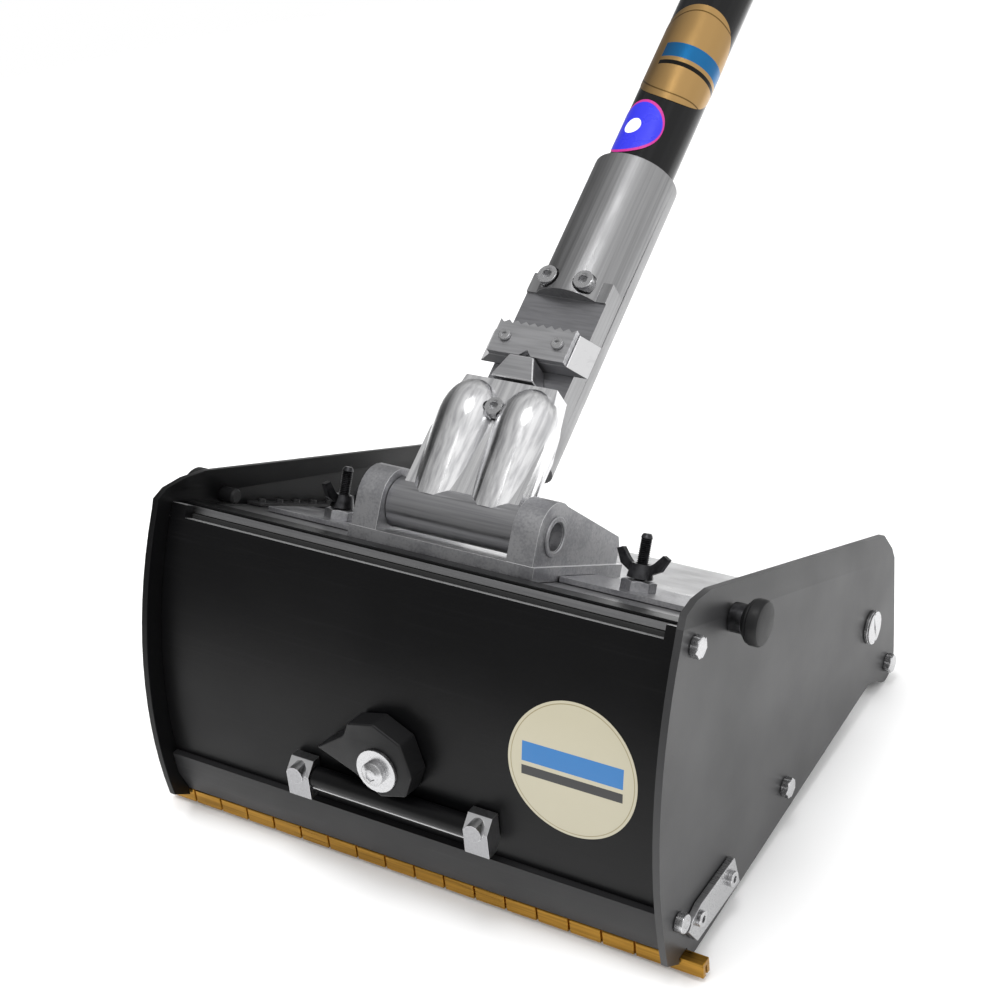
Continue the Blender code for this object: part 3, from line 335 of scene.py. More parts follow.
def spun(name: str, profile: list[Point], place: Place, steps: int = 48) -> Piece:
    """A closed profile of (radius, height) spun about Z.

    Args:
        name: the piece's name.
        profile: corners of the profile, in order round it.
        place: where it goes.
        steps: steps of the full turn.

    Returns:
        The turned piece.
    """
    deselect()
    bpy.ops.mesh.primitive_circle_add(vertices=len(profile), radius=0.01, fill_type="NOTHING")
    obj = bpy.context.object
    for vert, (radius, height) in zip(obj.data.vertices, profile):
        vert.co = (radius, 0, height)

    def work() -> None:
        """Spin the loop and close the seam."""
        bpy.ops.mesh.spin(steps=steps, angle=math.tau, center=(0, 0, 0), axis=(0, 0, 1))
        bpy.ops.mesh.select_all(action="SELECT")
        bpy.ops.mesh.remove_doubles(threshold=0.000002)
        bpy.ops.mesh.dissolve_degenerate(threshold=0.000001)
        bpy.ops.mesh.normals_make_consistent(inside=False)

    edit(obj, work)
    settle(obj, name, place)
    pick(obj)
    bpy.ops.object.shade_smooth_by_angle(angle=math.radians(35))
    return obj


def bar(name: str, radius: float, length: float, place: Place, sides: int = 32) -> Piece:
    """A round or many-sided bar along Z."""
    deselect()
    bpy.ops.mesh.primitive_cylinder_add(vertices=sides, radius=radius, depth=length)
    return settle(bpy.context.object, name, place)


def block(name: str, low: Iterable[float], high: Iterable[float], place: Place) -> Piece:
    """A block between two corners of a frame."""
    low = Vector(low)
    high = Vector(high)
    deselect()
    bpy.ops.mesh.primitive_cube_add(size=1)
    size = Matrix.Diagonal((*(high - low), 1))
    return settle(bpy.context.object, name, place @ Matrix.Translation((low + high) / 2) @ size)


def film(name: str, radius: float, curve: float, place: Place) -> Piece:
    """A round film lying on a cylinder that runs along Y.

    Args:
        name: the piece's name.
        radius: radius of the film when flat.
        curve: radius of the cylinder it lies on.
        place: its middle, X round the cylinder, Y along it and Z outwards.

    Returns:
        The film.
    """
    deselect()
    bpy.ops.mesh.primitive_grid_add(x_subdivisions=48, y_subdivisions=48, size=2)
    obj = bpy.context.object
    for vert in obj.data.vertices:
        across, along = vert.co.x, vert.co.y
        turn = radius * across * math.sqrt(1 - along * along / 2) / curve
        reach = radius * along * math.sqrt(1 - across * across / 2)
        vert.co = (curve * math.sin(turn), reach, curve * math.cos(turn) - curve)
    settle(obj, name, place)
    apply_modifier(obj, "SOLIDIFY", thickness=0.00014, offset=1.0)
    shade(obj)
    return obj


def combine(target: Piece, other: Piece, how: str) -> None:
    """Join another mesh to a piece or cut it out, and drop the other mesh."""
    apply_modifier(target, "BOOLEAN", operation=how, solver="EXACT", object=other)
    bpy.data.objects.remove(other, do_unlink=True)


# ---------------------------------------------------------------- finishes
def srgb(code: str) -> tuple[float, float, float, float]:
    """A hex colour as linear red, green, blue and alpha."""
    values = [int(code[i : i + 2], 16) / 255 for i in (1, 3, 5)]
    linear = [v / 12.92 if v <= 0.04045 else ((v + 0.055) / 1.055) ** 2.4 for v in values]
    return (*linear, 1.0)


def add_node(tree: Tree, kind: str, links: dict | None = None, **settings: object) -> Node:
    """Add a node with its settings and links.

    Args:
        tree: the material's or the world's node tree.
        kind: the node's type, without its ShaderNode prefix.
        links: socket name or number to the output that feeds it.
        settings: node attributes, or socket values as in_NAME or in_NUMBER.

    Returns:
        The node.
    """
    node = tree.nodes.new("ShaderNode" + kind)
    for key, value in settings.items():
        if key.startswith("in_"):
            socket = key[3:].replace("_", " ")
            node.inputs[int(socket) if socket.isdigit() else socket].default_value = value
        else:
            setattr(node, key, value)
    for socket, output in (links or {}).items():
        tree.links.new(output, node.inputs[socket])
    return node


@dataclass(frozen=True)
class Finish:
    """What every finish shares: a name, a colour and how it takes light."""

    name: str
    colour: str
    roughness: float = 0.4
    metallic: float = 0.0
    shine: float = 0.5

    def start(self) -> tuple[Material, Tree, Node, Node]:
        """Make the material with its shader set.

        Returns:
            The material, its tree, its shader and its texture coordinates.
        """
        material = bpy.data.materials.new(self.name)
        material.use_nodes = True
        tree = material.node_tree
        shader = tree.nodes["Principled BSDF"]
        shader.inputs["Base Color"].default_value = srgb(self.colour)
        shader.inputs["Roughness"].default_value = self.roughness
        shader.inputs["Metallic"].default_value = self.metallic
        if not self.metallic:
            shader.inputs["Specular IOR Level"].default_value = self.shine
        return material, tree, shader, add_node(tree, "TexCoord")

    def blotch(self, tree: Tree, vector: Socket, size: float) -> Node:
        """Soft patches of a real size, as noise."""
        return add_node(tree, "TexNoise", {"Vector": vector}, in_Scale=1 / size, in_Detail=3.0)

    def vary(
        self, tree: Tree, value: Socket, low: float, high: float, start: float = 0.3, end: float = 0.7
    ) -> Node:
        """Map a pattern onto a range of values."""
        return add_node(tree, "MapRange", {"Value": value}, in_1=start, in_2=end, in_3=low, in_4=high)

    def roughen(
        self,
        tree: Tree,
        shader: Node,
        value: Socket,
        below: float,
        above: float,
        start: float = 0.3,
        end: float = 0.7,
    ) -> None:
        """Let a pattern vary the roughness, from so much below its value to so much above."""
        rough = self.vary(tree, value, self.roughness - below, self.roughness + above, start, end)
        tree.links.new(rough.outputs[0], shader.inputs["Roughness"])

    def tint(self, tree: Tree, factor: Socket, first: str, second: str) -> Node:
        """Blend two colours by a pattern."""
        mix = add_node(tree, "Mix", data_type="RGBA")
        mix.inputs[6].default_value = srgb(first)
        mix.inputs[7].default_value = srgb(second)
        tree.links.new(factor, mix.inputs[0])
        return mix

    def relief(self, tree: Tree, shader: Node, height: Socket, depth: float) -> None:
        """Drive the surface's relief from a pattern."""
        bump = add_node(tree, "Bump", {"Height": height}, in_Strength=1.0, in_Distance=depth)
        tree.links.new(bump.outputs["Normal"], shader.inputs["Normal"])

    def build(self) -> Material:
        """The finished material."""
        return self.start()[0]


@dataclass(frozen=True)
class AnodisedSheet(Finish):
    """Aluminium sheet, etched and anodised: an even satin with a fine tooth and a few faint rubs."""

    grain: float = 0.0006
    rub: str = "#2b2b2c"
    amount: float = 0.5

    def build(self) -> Material:
        """The finished material."""
        material, tree, shader, coord = self.start()
        where = coord.outputs["Object"]
        patches = self.blotch(tree, where, 0.045)
        tooth = add_node(tree, "TexNoise", {"Vector": where}, in_Scale=1 / self.grain, in_Detail=2.0)
        stretch = add_node(tree, "Mapping", {"Vector": where}, in_Scale=(6.0, 90.0, 240.0))
        rubs = add_node(tree, "TexNoise", {"Vector": stretch.outputs[0]}, in_Scale=3.0, in_Detail=4.0)
        worn = self.vary(tree, rubs.outputs["Fac"], 0.0, self.amount, 0.58, 0.8)
        colour = self.tint(tree, worn.outputs[0], self.colour, self.rub)
        tree.links.new(colour.outputs[2], shader.inputs["Base Color"])
        self.roughen(tree, shader, patches.outputs["Fac"], 0.05, 0.06)
        self.relief(tree, shader, tooth.outputs["Fac"], 0.00003)
        return material


@dataclass(frozen=True)
class CastAluminium(Finish):
    """Aluminium casting, bead blasted: a bright grey skin with small pits and soft dark patches."""

    pit: float = 0.0011
    dark: str = "#8d8d8e"

    def build(self) -> Material:
        """The finished material."""
        material, tree, shader, coord = self.start()
        where = coord.outputs["Object"]
        patches = self.blotch(tree, where, 0.012)
        skin = add_node(tree, "TexNoise", {"Vector": where}, in_Scale=1 / self.pit, in_Detail=5.0)
        both = add_node(
            tree, "Math", {0: patches.outputs["Fac"], 1: skin.outputs["Fac"]}, operation="MULTIPLY"
        )
        dirty = self.vary(tree, both.outputs[0], 1.0, 0.0, 0.14, 0.30)
        colour = self.tint(tree, dirty.outputs[0], self.colour, self.dark)
        tree.links.new(colour.outputs[2], shader.inputs["Base Color"])
        self.roughen(tree, shader, patches.outputs["Fac"], 0.07, 0.08)
        self.relief(tree, shader, skin.outputs["Fac"], 0.00007)
        return material


@dataclass(frozen=True)
class DrawnMetal(Finish):
    """Metal finished in one direction, by a belt, a buff or a lathe: fine streaks along it."""

    turn: float = 0.0
    fine: tuple[float, float, float] = (900.0, 14.0, 900.0)
    dark: str = "#9b9b9c"
    depth: float = 0.00002
    spread: float = 0.08

    def build(self) -> Material:
        """The finished material."""
        material, tree, shader, coord = self.start()
        turned = add_node(
            tree,
            "Mapping",
            {"Vector": coord.outputs["Object"]},
            in_Rotation=(math.radians(-self.turn), 0, 0),
        )
        streaked = add_node(tree, "Mapping", {"Vector": turned.outputs[0]}, in_Scale=self.fine)
        lines = add_node(tree, "TexNoise", {"Vector": streaked.outputs[0]}, in_Scale=1.0, in_Detail=4.0)
        patches = self.blotch(tree, turned.outputs[0], 0.02)
        streaks = self.vary(tree, lines.outputs["Fac"], 0.75, 0.0, 0.32, 0.6)
        colour = self.tint(tree, streaks.outputs[0], self.colour, self.dark)
        tree.links.new(colour.outputs[2], shader.inputs["Base Color"])
        mixed = add_node(
            tree, "Math", {0: lines.outputs["Fac"], 1: patches.outputs["Fac"]}, operation="MULTIPLY"
        )
        self.roughen(tree, shader, mixed.outputs[0], self.spread, self.spread, 0.12, 0.4)
        self.relief(tree, shader, lines.outputs["Fac"], self.depth)
        return material


@dataclass(frozen=True)
class MouldedPlastic(Finish):
    """Glass-filled nylon or rubber from a mould: matt, with a fine spark-eroded grain."""

    grain: float = 0.0005
    depth: float = 0.00004

    def build(self) -> Material:
        """The finished material."""
        material, tree, shader, coord = self.start()
        where = coord.outputs["Object"]
        grain = add_node(tree, "TexNoise", {"Vector": where}, in_Scale=1 / self.grain, in_Detail=3.0)
        patches = self.blotch(tree, where, 0.01)
        self.roughen(tree, shader, patches.outputs["Fac"], 0.06, 0.06)
        self.relief(tree, shader, grain.outputs["Fac"], self.depth)
        return material


@dataclass(frozen=True)
class PrintedFilm(Finish):
    """Printed polyester film: a smooth glossy skin with plain bars and rings round its middle."""

    bars: tuple[tuple[float, float, float, float, str], ...] = ()
    rings: tuple[tuple[float, float, str], ...] = ()
    turn: float = 0.0
    centre: tuple[float, float, float] = (0.0, 0.0, 0.0)
    up: int = 2

    def inside(self, tree: Tree, value: Socket, low: float, high: float) -> Socket:
        """One where a value lies between two bounds, else nought.

        Args:
            tree: the material's tree.
            value: the value tested.
            low: lower bound in metres.
            high: upper bound in metres.

        Returns:
            The output that carries the mask.
        """
        offset = add_node(tree, "Math", {0: value}, operation="SUBTRACT", in_1=(low + high) / 2)
        distance = add_node(tree, "Math", {0: offset.outputs[0]}, operation="ABSOLUTE")
        mask = add_node(
            tree, "Math", {0: distance.outputs[0]}, operation="LESS_THAN", in_1=(high - low) / 2
        )
        return mask.outputs[0]

    def build(self) -> Material:
        """The finished material."""
        material, tree, shader, coord = self.start()
        where = coord.outputs["Object"]
        moved = add_node(tree, "VectorMath", {0: where}, operation="SUBTRACT", in_1=self.centre)
        turned = add_node(
            tree, "Mapping", {"Vector": moved.outputs[0]}, in_Rotation=(math.radians(-self.turn), 0, 0)
        )
        split = add_node(tree, "SeparateXYZ", {0: turned.outputs[0]})
        across, up = split.outputs[0], split.outputs[self.up]
        flat = add_node(tree, "CombineXYZ", {0: across, 1: up})
        reach = add_node(tree, "VectorMath", {0: flat.outputs[0]}, operation="LENGTH").outputs["Value"]
        prints = [(self.inside(tree, reach, low, high), code) for low, high, code in self.rings]
        for left, right, low, high, code in self.bars:
            masks = {0: self.inside(tree, across, left, right), 1: self.inside(tree, up, low, high)}
            prints.append((add_node(tree, "Math", masks, operation="MULTIPLY").outputs[0], code))
        colour: Socket | None = None
        for mask, code in prints:
            mix = self.tint(tree, mask, self.colour, code)
            if colour is not None:
                tree.links.new(colour, mix.inputs[6])
            colour = mix.outputs[2]
        if colour is not None:
            tree.links.new(colour, shader.inputs["Base Color"])
        wave = self.blotch(tree, where, 0.01)
        self.roughen(tree, shader, wave.outputs["Fac"], 0.04, 0.05)
        self.relief(tree, shader, wave.outputs["Fac"], 0.00002)
        shader.inputs["Coat Weight"].default_value = 0.3
        shader.inputs["Coat Roughness"].default_value = 0.15
        return material


BADGE = front_place(12.0, 0.084)
TUBE_RADIUS = 0.015875


def tube_place(along: float, turn: float) -> Place:
    """A frame on the handle tube's skin: X round the tube, Y along it, Z outwards.

    Args:
        along: distance from the pivot in metres.
        turn: turn round the tube from its front, in degrees.

    Returns:
        The matrix from that frame to the world.
    """
    axis = HANDLE @ move(0, along, -AXIS_DROP)
    return axis @ spin(turn, "Y") @ move(0, 0, TUBE_RADIUS + FILM_GAP)


WRAP = tube_place(0.2490, 24.0)
STICKER = tube_place(0.2045, -14.0)

# black anodised sheet: nearly black, with a soft gradient where it mirrors the floor
BLACK_SHEET = AnodisedSheet(
    "anodised_aluminium_black_etched", "#09090a", 0.36, 0.0, 0.18, rub="#171718", amount=0.4
)
# the sheet's cut edge, bare where the black has worn through and bright as a painted highlight: a thin
# bright line
BARE_EDGE_PAINTED_HIGHLIGHT = AnodisedSheet("aluminium_edge_bare", "#e4e4e5", 0.5, 1.0, rub="#b5b5b7")
# cream badge film with plain blue and black bars: the one light patch on the front
BADGE_FILM = PrintedFilm(
    "polyester_badge_printed",
    "#b0aa94",
    0.32,
    bars=((-0.0225, 0.0225, -0.0010, 0.0075, "#1668a6"), (-0.0225, 0.0225, -0.0068, -0.0028, "#191919")),
    rings=((0.0272, 0.0276, "#8b8264"),),
    turn=-12.0,
    centre=tuple(BADGE.translation),
)
# gold foil wrap on the tube: warm metal with plain bars that break its shine
GOLD_FOIL = PrintedFilm(
    "foil_gold_printed",
    "#b8935c",
    0.32,
    1.0,
    bars=((-0.012, 0.020, -0.0040, 0.0040, "#1c6fa8"), (-0.012, 0.020, -0.0085, -0.0062, "#15130f")),
    rings=((0.0235, 0.0242, "#6d5227"),),
    turn=HANDLE_TURN,
    centre=tuple(WRAP.translation),
    up=1,
)
# blue sticker with a magenta rim and a plain white dot: the strongest colour on the handle
BLUE_VINYL = PrintedFilm(
    "vinyl_blue_printed",
    "#1d22c4",
    0.28,
    rings=((0.0136, 0.0152, "#b01c7e"), (-0.0001, 0.0042, "#f4f4f8")),
    turn=HANDLE_TURN,
    centre=tuple(STICKER.translation),
    up=1,
)
# the same black sheet on the right side plate, coloured a lighter grey: a painted sheen for the light it
# catches at a low angle
RIGHT_SHEET_PAINTED_SHEEN = AnodisedSheet(
    "anodised_aluminium_black_side", "#2a2a2b", 0.42, 0.0, 0.5, rub="#39393a", amount=0.3
)
# hard anodised extrusion: a dull mid grey
GREY_BAR = AnodisedSheet("anodised_aluminium_grey_extruded", "#202021", 0.45, 0.0, 0.26, rub="#353536")
# blasted casting: bright grey with small pits
CASTING = CastAluminium("cast_aluminium_blasted", "#b9b9bb", 0.40, 1.0, dark="#a0a0a4")
# buffed faces of the arm: mirror streaks along the handle
BUFFED = DrawnMetal(
    "cast_aluminium_buffed",
    "#f6f6f7",
    0.22,
    1.0,
    turn=HANDLE_TURN,
    fine=(500.0, 5.0, 500.0),
    dark="#bcbcbf",
    depth=0.00003,
    spread=0.05,
)
# the arm's barrel as it came off the lathe: an even satin
BARREL = DrawnMetal(
    "aluminium_barrel_turned", "#a9a9ab", 0.36, 1.0, fine=(20.0, 900.0, 900.0), dark="#909093"
)
# chamfers rubbed bright by handling; on the cradle's side chamfers the same bright metal is a painted
# highlight
RUBBED_AND_PAINTED_HIGHLIGHT = AnodisedSheet("aluminium_edge_rubbed", "#e2e2e3", 0.34, 1.0, rub="#bdbdbf")
# turned sleeve: satin with fine streaks along it
SLEEVE = DrawnMetal(
    "aluminium_sleeve_satin",
    "#a3a3a4",
    0.40,
    1.0,
    turn=HANDLE_TURN,
    fine=(700.0, 9.0, 700.0),
    dark="#8a8a8b",
)
# the channel's machined front: the darkest bare metal of the head
CHANNEL = DrawnMetal(
    "aluminium_channel_milled",
    "#98989b",
    0.42,
    1.0,
    turn=HANDLE_TURN,
    fine=(90.0, 900.0, 90.0),
    dark="#88888b",
)
# milled plate: flat grey with cross marks
MILLED = DrawnMetal(
    "aluminium_plate_milled",
    "#bbbbbd",
    0.40,
    1.0,
    turn=HANDLE_TURN,
    fine=(60.0, 1100.0, 60.0),
    dark="#a9a9ab",
)
# rolled lid sheet: satin with long marks across the box
LID_SHEET = DrawnMetal(
    "aluminium_sheet_rolled",
    "#a9a9aa",
    0.34,
    1.0,
    turn=LID_TURN,
    fine=(9.0, 900.0, 900.0),
    dark="#98989a",
    depth=0.000008,
)
# machined brass, a little tarnished: warm gold with darker streaks
BRASS = DrawnMetal(
    "brass_machined", "#b08436", 0.34, 1.0, fine=(25.0, 900.0, 900.0), dark="#7d5a20", depth=0.00005
)
# bright zinc on steel screws: small hard glints
ZINC = DrawnMetal(
    "steel_bright_zinc", "#c4c4c5", 0.26, 1.0, fine=(1600.0, 1600.0, 1600.0), dark="#b4b4b6", depth=0.000004
)
# bent steel clips: an even satin grey
SATIN_STEEL = DrawnMetal(
    "steel_satin_bent", "#a2a2a4", 0.34, 1.0, fine=(1500.0, 1500.0, 1500.0), dark="#8f8f91", depth=0.000006
)
# blackened steel studs and nuts: dark with small glints
BLACK_STEEL = DrawnMetal(
    "steel_black_oxide", "#4c4c4e", 0.36, 1.0, fine=(400.0, 400.0, 400.0), dark="#2d2d2f"
)
# stainless strip for the blade and the skids
STRIP = DrawnMetal(
    "stainless_strip_ground", "#bcbcbd", 0.32, 1.0, fine=(40.0, 1400.0, 1400.0), dark="#a5a5a7"
)
# nitrile seal and grip: dull black
RUBBER = MouldedPlastic("nitrile_rubber_moulded", "#1b1b1b", 0.72, grain=0.0007)
# nylon knobs, dial and wheels: satin black
NYLON = MouldedPlastic("nylon_black_moulded", "#131314", 0.46, 0.0, 0.3)
# gloss lacquer on the tube: black with long sharp glints
LACQUER = DrawnMetal(
    "lacquer_black_gloss",
    "#09090a",
    0.16,
    0.0,
    0.28,
    turn=HANDLE_TURN,
    fine=(300.0, 4.0, 300.0),
    dark="#161617",
    depth=0.00001, spread=0.05
)


class Dresser:
    """Builds each finish once and puts it on pieces."""

    def __init__(self) -> None:
        """Start with no material built."""
        self.built: dict[str, Material] = {}

    def material(self, finish: Finish) -> Material:
        """The finish's material, built the first time it is asked for."""
        if finish.name not in self.built:
            self.built[finish.name] = finish.build()
        return self.built[finish.name]

    def dress(self, obj: Piece, finish: Finish, body: str) -> None:
        """Give a piece its finish and hang it on its body.

        Args:
            obj: the piece.
            finish: what it is made of.
            body: the body it rides on.
        """
        obj.data.materials.clear()
        obj.data.materials.append(self.material(finish))
        if "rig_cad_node" not in obj:
            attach(obj, body)


DRESSER = Dresser()


def finer(node: str, width: float, finish: Finish, body: str, segments: int = 2) -> Piece:
    """A refined copy of a CAD node, dressed.

    Args:
        node: the node's name.
        width: bevel width in metres.
        finish: what it is made of.
        body: the body it rides on.
        segments: bevel segments.

    Returns:
        The copy.
    """
    piece = refine(node, width, segments)
    DRESSER.dress(piece, finish, body)
    return piece


# ---------------------------------------------------------------- fasteners
@dataclass
class Fasteners:
    """Screws and hexagon heads that stand on the tool's sides and castings."""

    socket_depth: float = 0.0016

    def hexagon(self, name: str, radius: float, height: float, place: Place) -> Piece:
        """A hexagon head with its chamfered crown, standing on Z = 0 of its place."""
        head = bar(name, radius, height, move(0, 0, height / 2), 6)
        crown = spun(
            "crown",
            [(
                0, -0.001
            ), (radius * 1.01, -0.001), (radius * 1.01, height * 0.82), (radius * 0.8, height), (0, height)],
            HERE,
            32,
        )
        combine(head, crown, "INTERSECT")
        head.data.transform(place)
        soften(head, 0.00012, 1)
        return head

    def socket(self, name: str, radius: float, height: float, place: Place, dome: float = 0.0) -> Piece:
        """A round head with a hexagon socket, standing on Z = 0 of its place."""
        top = height + dome
        profile = [(
            0, 0
        ), (radius, 0), (radius, height * 0.86), (radius * 0.93, height), (radius * 0.55, top), (0, top)]
        head = spun(name, profile, HERE, 32)
        socket = bar("socket", radius * 0.48, self.socket_depth * 2, move(0, 0, top), 6)
        combine(head, socket, "DIFFERENCE")
        head.data.transform(place)
        soften(head, 0.0001, 1)
        return head

    def slotted(self, name: str, radius: float, height: float, place: Place) -> Piece:
        """A round head with a driver slot, standing on Z = 0 of its place."""
        profile = [(0, 0), (radius, 0), (radius, height * 0.6), (radius * 0.86, height), (0, height)]
        head = spun(name, profile, HERE, 36)
        reach = radius * 1.2
        slot = block("slot", (-reach, -0.0006, height - 0.0008), (reach, 0.0006, height + 0.001), HERE)
        combine(head, slot, "DIFFERENCE")
        head.data.transform(place)
        soften(head, 0.00012, 1)
        return head


SCREWS = Fasteners()


def world_side(side: Side, distance: float, y: float, z: float) -> Place:
    """A frame on one side of the box, its Z pointing outwards.

    Args:
        side: which side.
        distance: distance from the middle plane.
        y: along the box.
        z: height.

    Returns:
        The matrix from that frame to the world.
    """
    return move(side.value * distance, y, z) @ side.facing


def node_centre(node: str) -> Vector:
    """The middle of a CAD node's box."""
    low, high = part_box(node)
    return (Vector(low) + Vector(high)) / 2


# ---------------------------------------------------------------- sub-assemblies
@dataclass
class Box:
    """The sheet-metal box: plates, blade group, wheels and side fittings."""

    outer: float = 0.1273
    edge: float = 0.0005

    def plates(self) -> None:
        """Side, front and bottom plates, with broken edges."""
        for side in Side:
            plate = refine(side.label + "_side_plate", self.edge)
            # the right plate takes the lighter grey of a painted sheen, the left stays black
            DRESSER.dress(plate, RIGHT_SHEET_PAINTED_SHEEN if side is Side.RIGHT else BLACK_SHEET, "box")
        self.front()
        finer("bottom_plate", 0.0003, GREY_BAR, "box")

    def front(self) -> None:
        """The curved front plate with its ears, its top edge bare and bright as a painted highlight, and the
        badge.
        """
        low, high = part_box("front_plate")
        inner = FRONT_RADIUS - FRONT_THICK
        bottom = math.asin((low[2] - HINGE.z) / FRONT_RADIUS)
        top = math.radians(29.474)

        def sector(start: float, end: float, steps: int) -> list[Point]:
            """Outline of the sheet between two angles."""
            angles = [start + (end - start) * step / steps for step in range(steps + 1)]
            arc = [(FRONT_RADIUS, a) for a in angles] + [(inner, a) for a in reversed(angles)]
            return [(HINGE.y - r * math.cos(a), HINGE.z + r * math.sin(a)) for r, a in arc]

        plate = prism("front_sheet", sector(bottom, top, 72), high[0] - low[0], IN_YZ)
        ear = sector(top - math.radians(3), top + math.radians(1.6), 8)
        for side in Side:
            across = move(side.value * (high[0] - 0.004), 0, 0)
            combine(plate, prism("ear", ear, 0.008, across @ IN_YZ), "UNION")
        soften(plate, self.edge, 2)
        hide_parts("front_plate")
        DRESSER.dress(plate, BLACK_SHEET, "box")
        outward = Vector((0, -math.cos(top), math.sin(top)))
        upward = Vector((0, math.sin(top), math.cos(top)))
        # the top edge faces take the bright bare metal: partly worn-through black, partly a painted
        # highlight
        coat(plate, BARE_EDGE_PAINTED_HIGHLIGHT, lambda _, normal: normal.dot(upward) > 0.3)
        badge = film(
            "front_badge", 0.0287, FRONT_RADIUS, BADGE @ OUTWARD @ Matrix.Rotation(math.pi / 2, 4, "Z")
        )
        badge.data.transform(Matrix.Translation(FILM_GAP * outward))
        DRESSER.dress(badge, BADGE_FILM, "box")

    def blade(self) -> None:
        """Holder bar, notched brass carrier and ground steel blade."""
        DRESSER.dress(refine("blade_holder_bar", self.edge), GREY_BAR, "box")
        brass = refine("brass_blade_carrier", 0.0)
        low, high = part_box("brass_blade_carrier")
        count = 18
        pitch = (high[0] - low[0]) / count
        for index in range(1, count):
            x = low[0] + index * pitch
            notch = block(
                "notch",
                (x - 0.0004, low[1] - 0.002, low[2] - 0.001),
                (x + 0.0004, low[1] + 0.0012, high[2] + 0.001),
                HERE,
            )
            combine(brass, notch, "DIFFERENCE")
        soften(brass, 0.0003, 1)
        DRESSER.dress(brass, BRASS, "box")
        finer("steel_blade", 0.0001, STRIP, "box", 1)

    def fittings(self) -> None:
        """Hexagon heads, socket screws, skids and bushes on both sides."""
        for side in Side:
            label = side.label + "_"
            rows = (
                ("rear_axle", label + "rear_axle", SCREWS.hexagon, 0.0047, 0.0033, 0.0),
                ("tie_rod", label + "tie_rod", SCREWS.hexagon, 0.0047, 0.0033, 0.0),
                (label + "front_bolt", label + "front_bolt", SCREWS.hexagon, 0.0047, 0.0033, 0.0),
                (label + "holder_screw", label + "holder_screw", SCREWS.socket, 0.0041, 0.0035, 0.0),
                (label + "hinge_screw", label + "hinge_screw", SCREWS.slotted, 0.0079, 0.0023, 0.2),
            )
            for node, name, make, radius, height, turn in rows:
                centre = node_centre(node)
                place = world_side(side, self.outer, centre.y, centre.z) @ Matrix.Rotation(turn, 4, "Z")
                DRESSER.dress(make(name + "_head", radius, height, place), ZINC, "box")
            finer(side.label + "_skid_plate", 0.0003, STRIP, "box")
            low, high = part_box(side.label + "_skid_plate")
            spots = ((low[1] + 0.0090, low[2] + 0.0105), (high[1] - 0.0085, low[2] + 0.0085))
            for index, (y, z) in enumerate(spots):
                place = world_side(side, self.outer + 0.0030, y, z)
                head = SCREWS.socket(side.label + "_skid_screw_" + str(index), 0.0034, 0.0021, place)
                DRESSER.dress(head, ZINC, "box")
            finer(side.label + "_latch_bush", 0.0003, BLACK_STEEL, "box")
        for node in ("rear_axle", "tie_rod"):
            finer(node, 0.0, ZINC, "box")
        for side in Side:
            for node in ("_front_bolt", "_holder_screw", "_hinge_screw"):
                finer(side.label + node, 0.0, ZINC, "box")

    def knobs(self) -> None:
        """Latch knobs with a grooved neck."""
        for side in Side:
            node = side.label + "_latch_knob"
            low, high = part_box(node)
            centre = node_centre(node)
            outer = max(abs(low[0]), abs(high[0]))
            inner = min(abs(low[0]), abs(high[0]))
            start = outer - 0.0080
            profile = [
                (0.0, outer), (0.0070, outer), (0.0086, outer - 0.0005), (0.0093, outer - 0.0016),
                (0.0093, outer - 0.0048),
                (0.0088, outer - 0.0054),
                (0.0088, outer - 0.0060),
                (0.0070, start + 0.0004),
                (0.0066, start), (0.0035, start), (0.0035, inner + 0.0010), (0.0027, inner),
                (0.0, inner),
            ]
            place = move(0, centre.y, centre.z) @ side.facing
            knob = spun(side.label + "_knob", profile, place, 64)
            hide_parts(node)
            DRESSER.dress(knob, NYLON, side.label + "_latch")

    def wheels(self) -> None:
        """Wheels with a rounded tread and a hub."""
        for side in Side:
            node = side.label + "_wheel"
            centre = node_centre(node)
            low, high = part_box(node)
            half = (high[0] - low[0]) / 2
            radius = (high[2] - low[2]) / 2
            profile = [
                (0.0033, half), (0.0055, half), (0.0060, half - 0.0007), (0.0085, half - 0.0007),
                (0.0090, half - 0.0002),
                (radius - 0.0010, half - 0.0002),
                (radius - 0.0003, half - 0.0010),
                (radius, half - 0.0024),
                (radius, -half + 0.0024),
                (radius - 0.0003, -half + 0.0010),
                (radius - 0.0010, -half),
                (0.0033, -half),
            ]
            wheel = spun(side.label + "_tread_wheel", profile, Matrix.Translation(centre) @ TO_X, 64)
            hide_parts(node)
            DRESSER.dress(wheel, NYLON, node + "_body")

    def build(self) -> None:
        """Build the whole box."""
        self.plates()
        self.blade()
        self.fittings()
        self.knobs()
        self.wheels()
        LOG.info("box: plates, blade group, fittings, knobs, wheels")


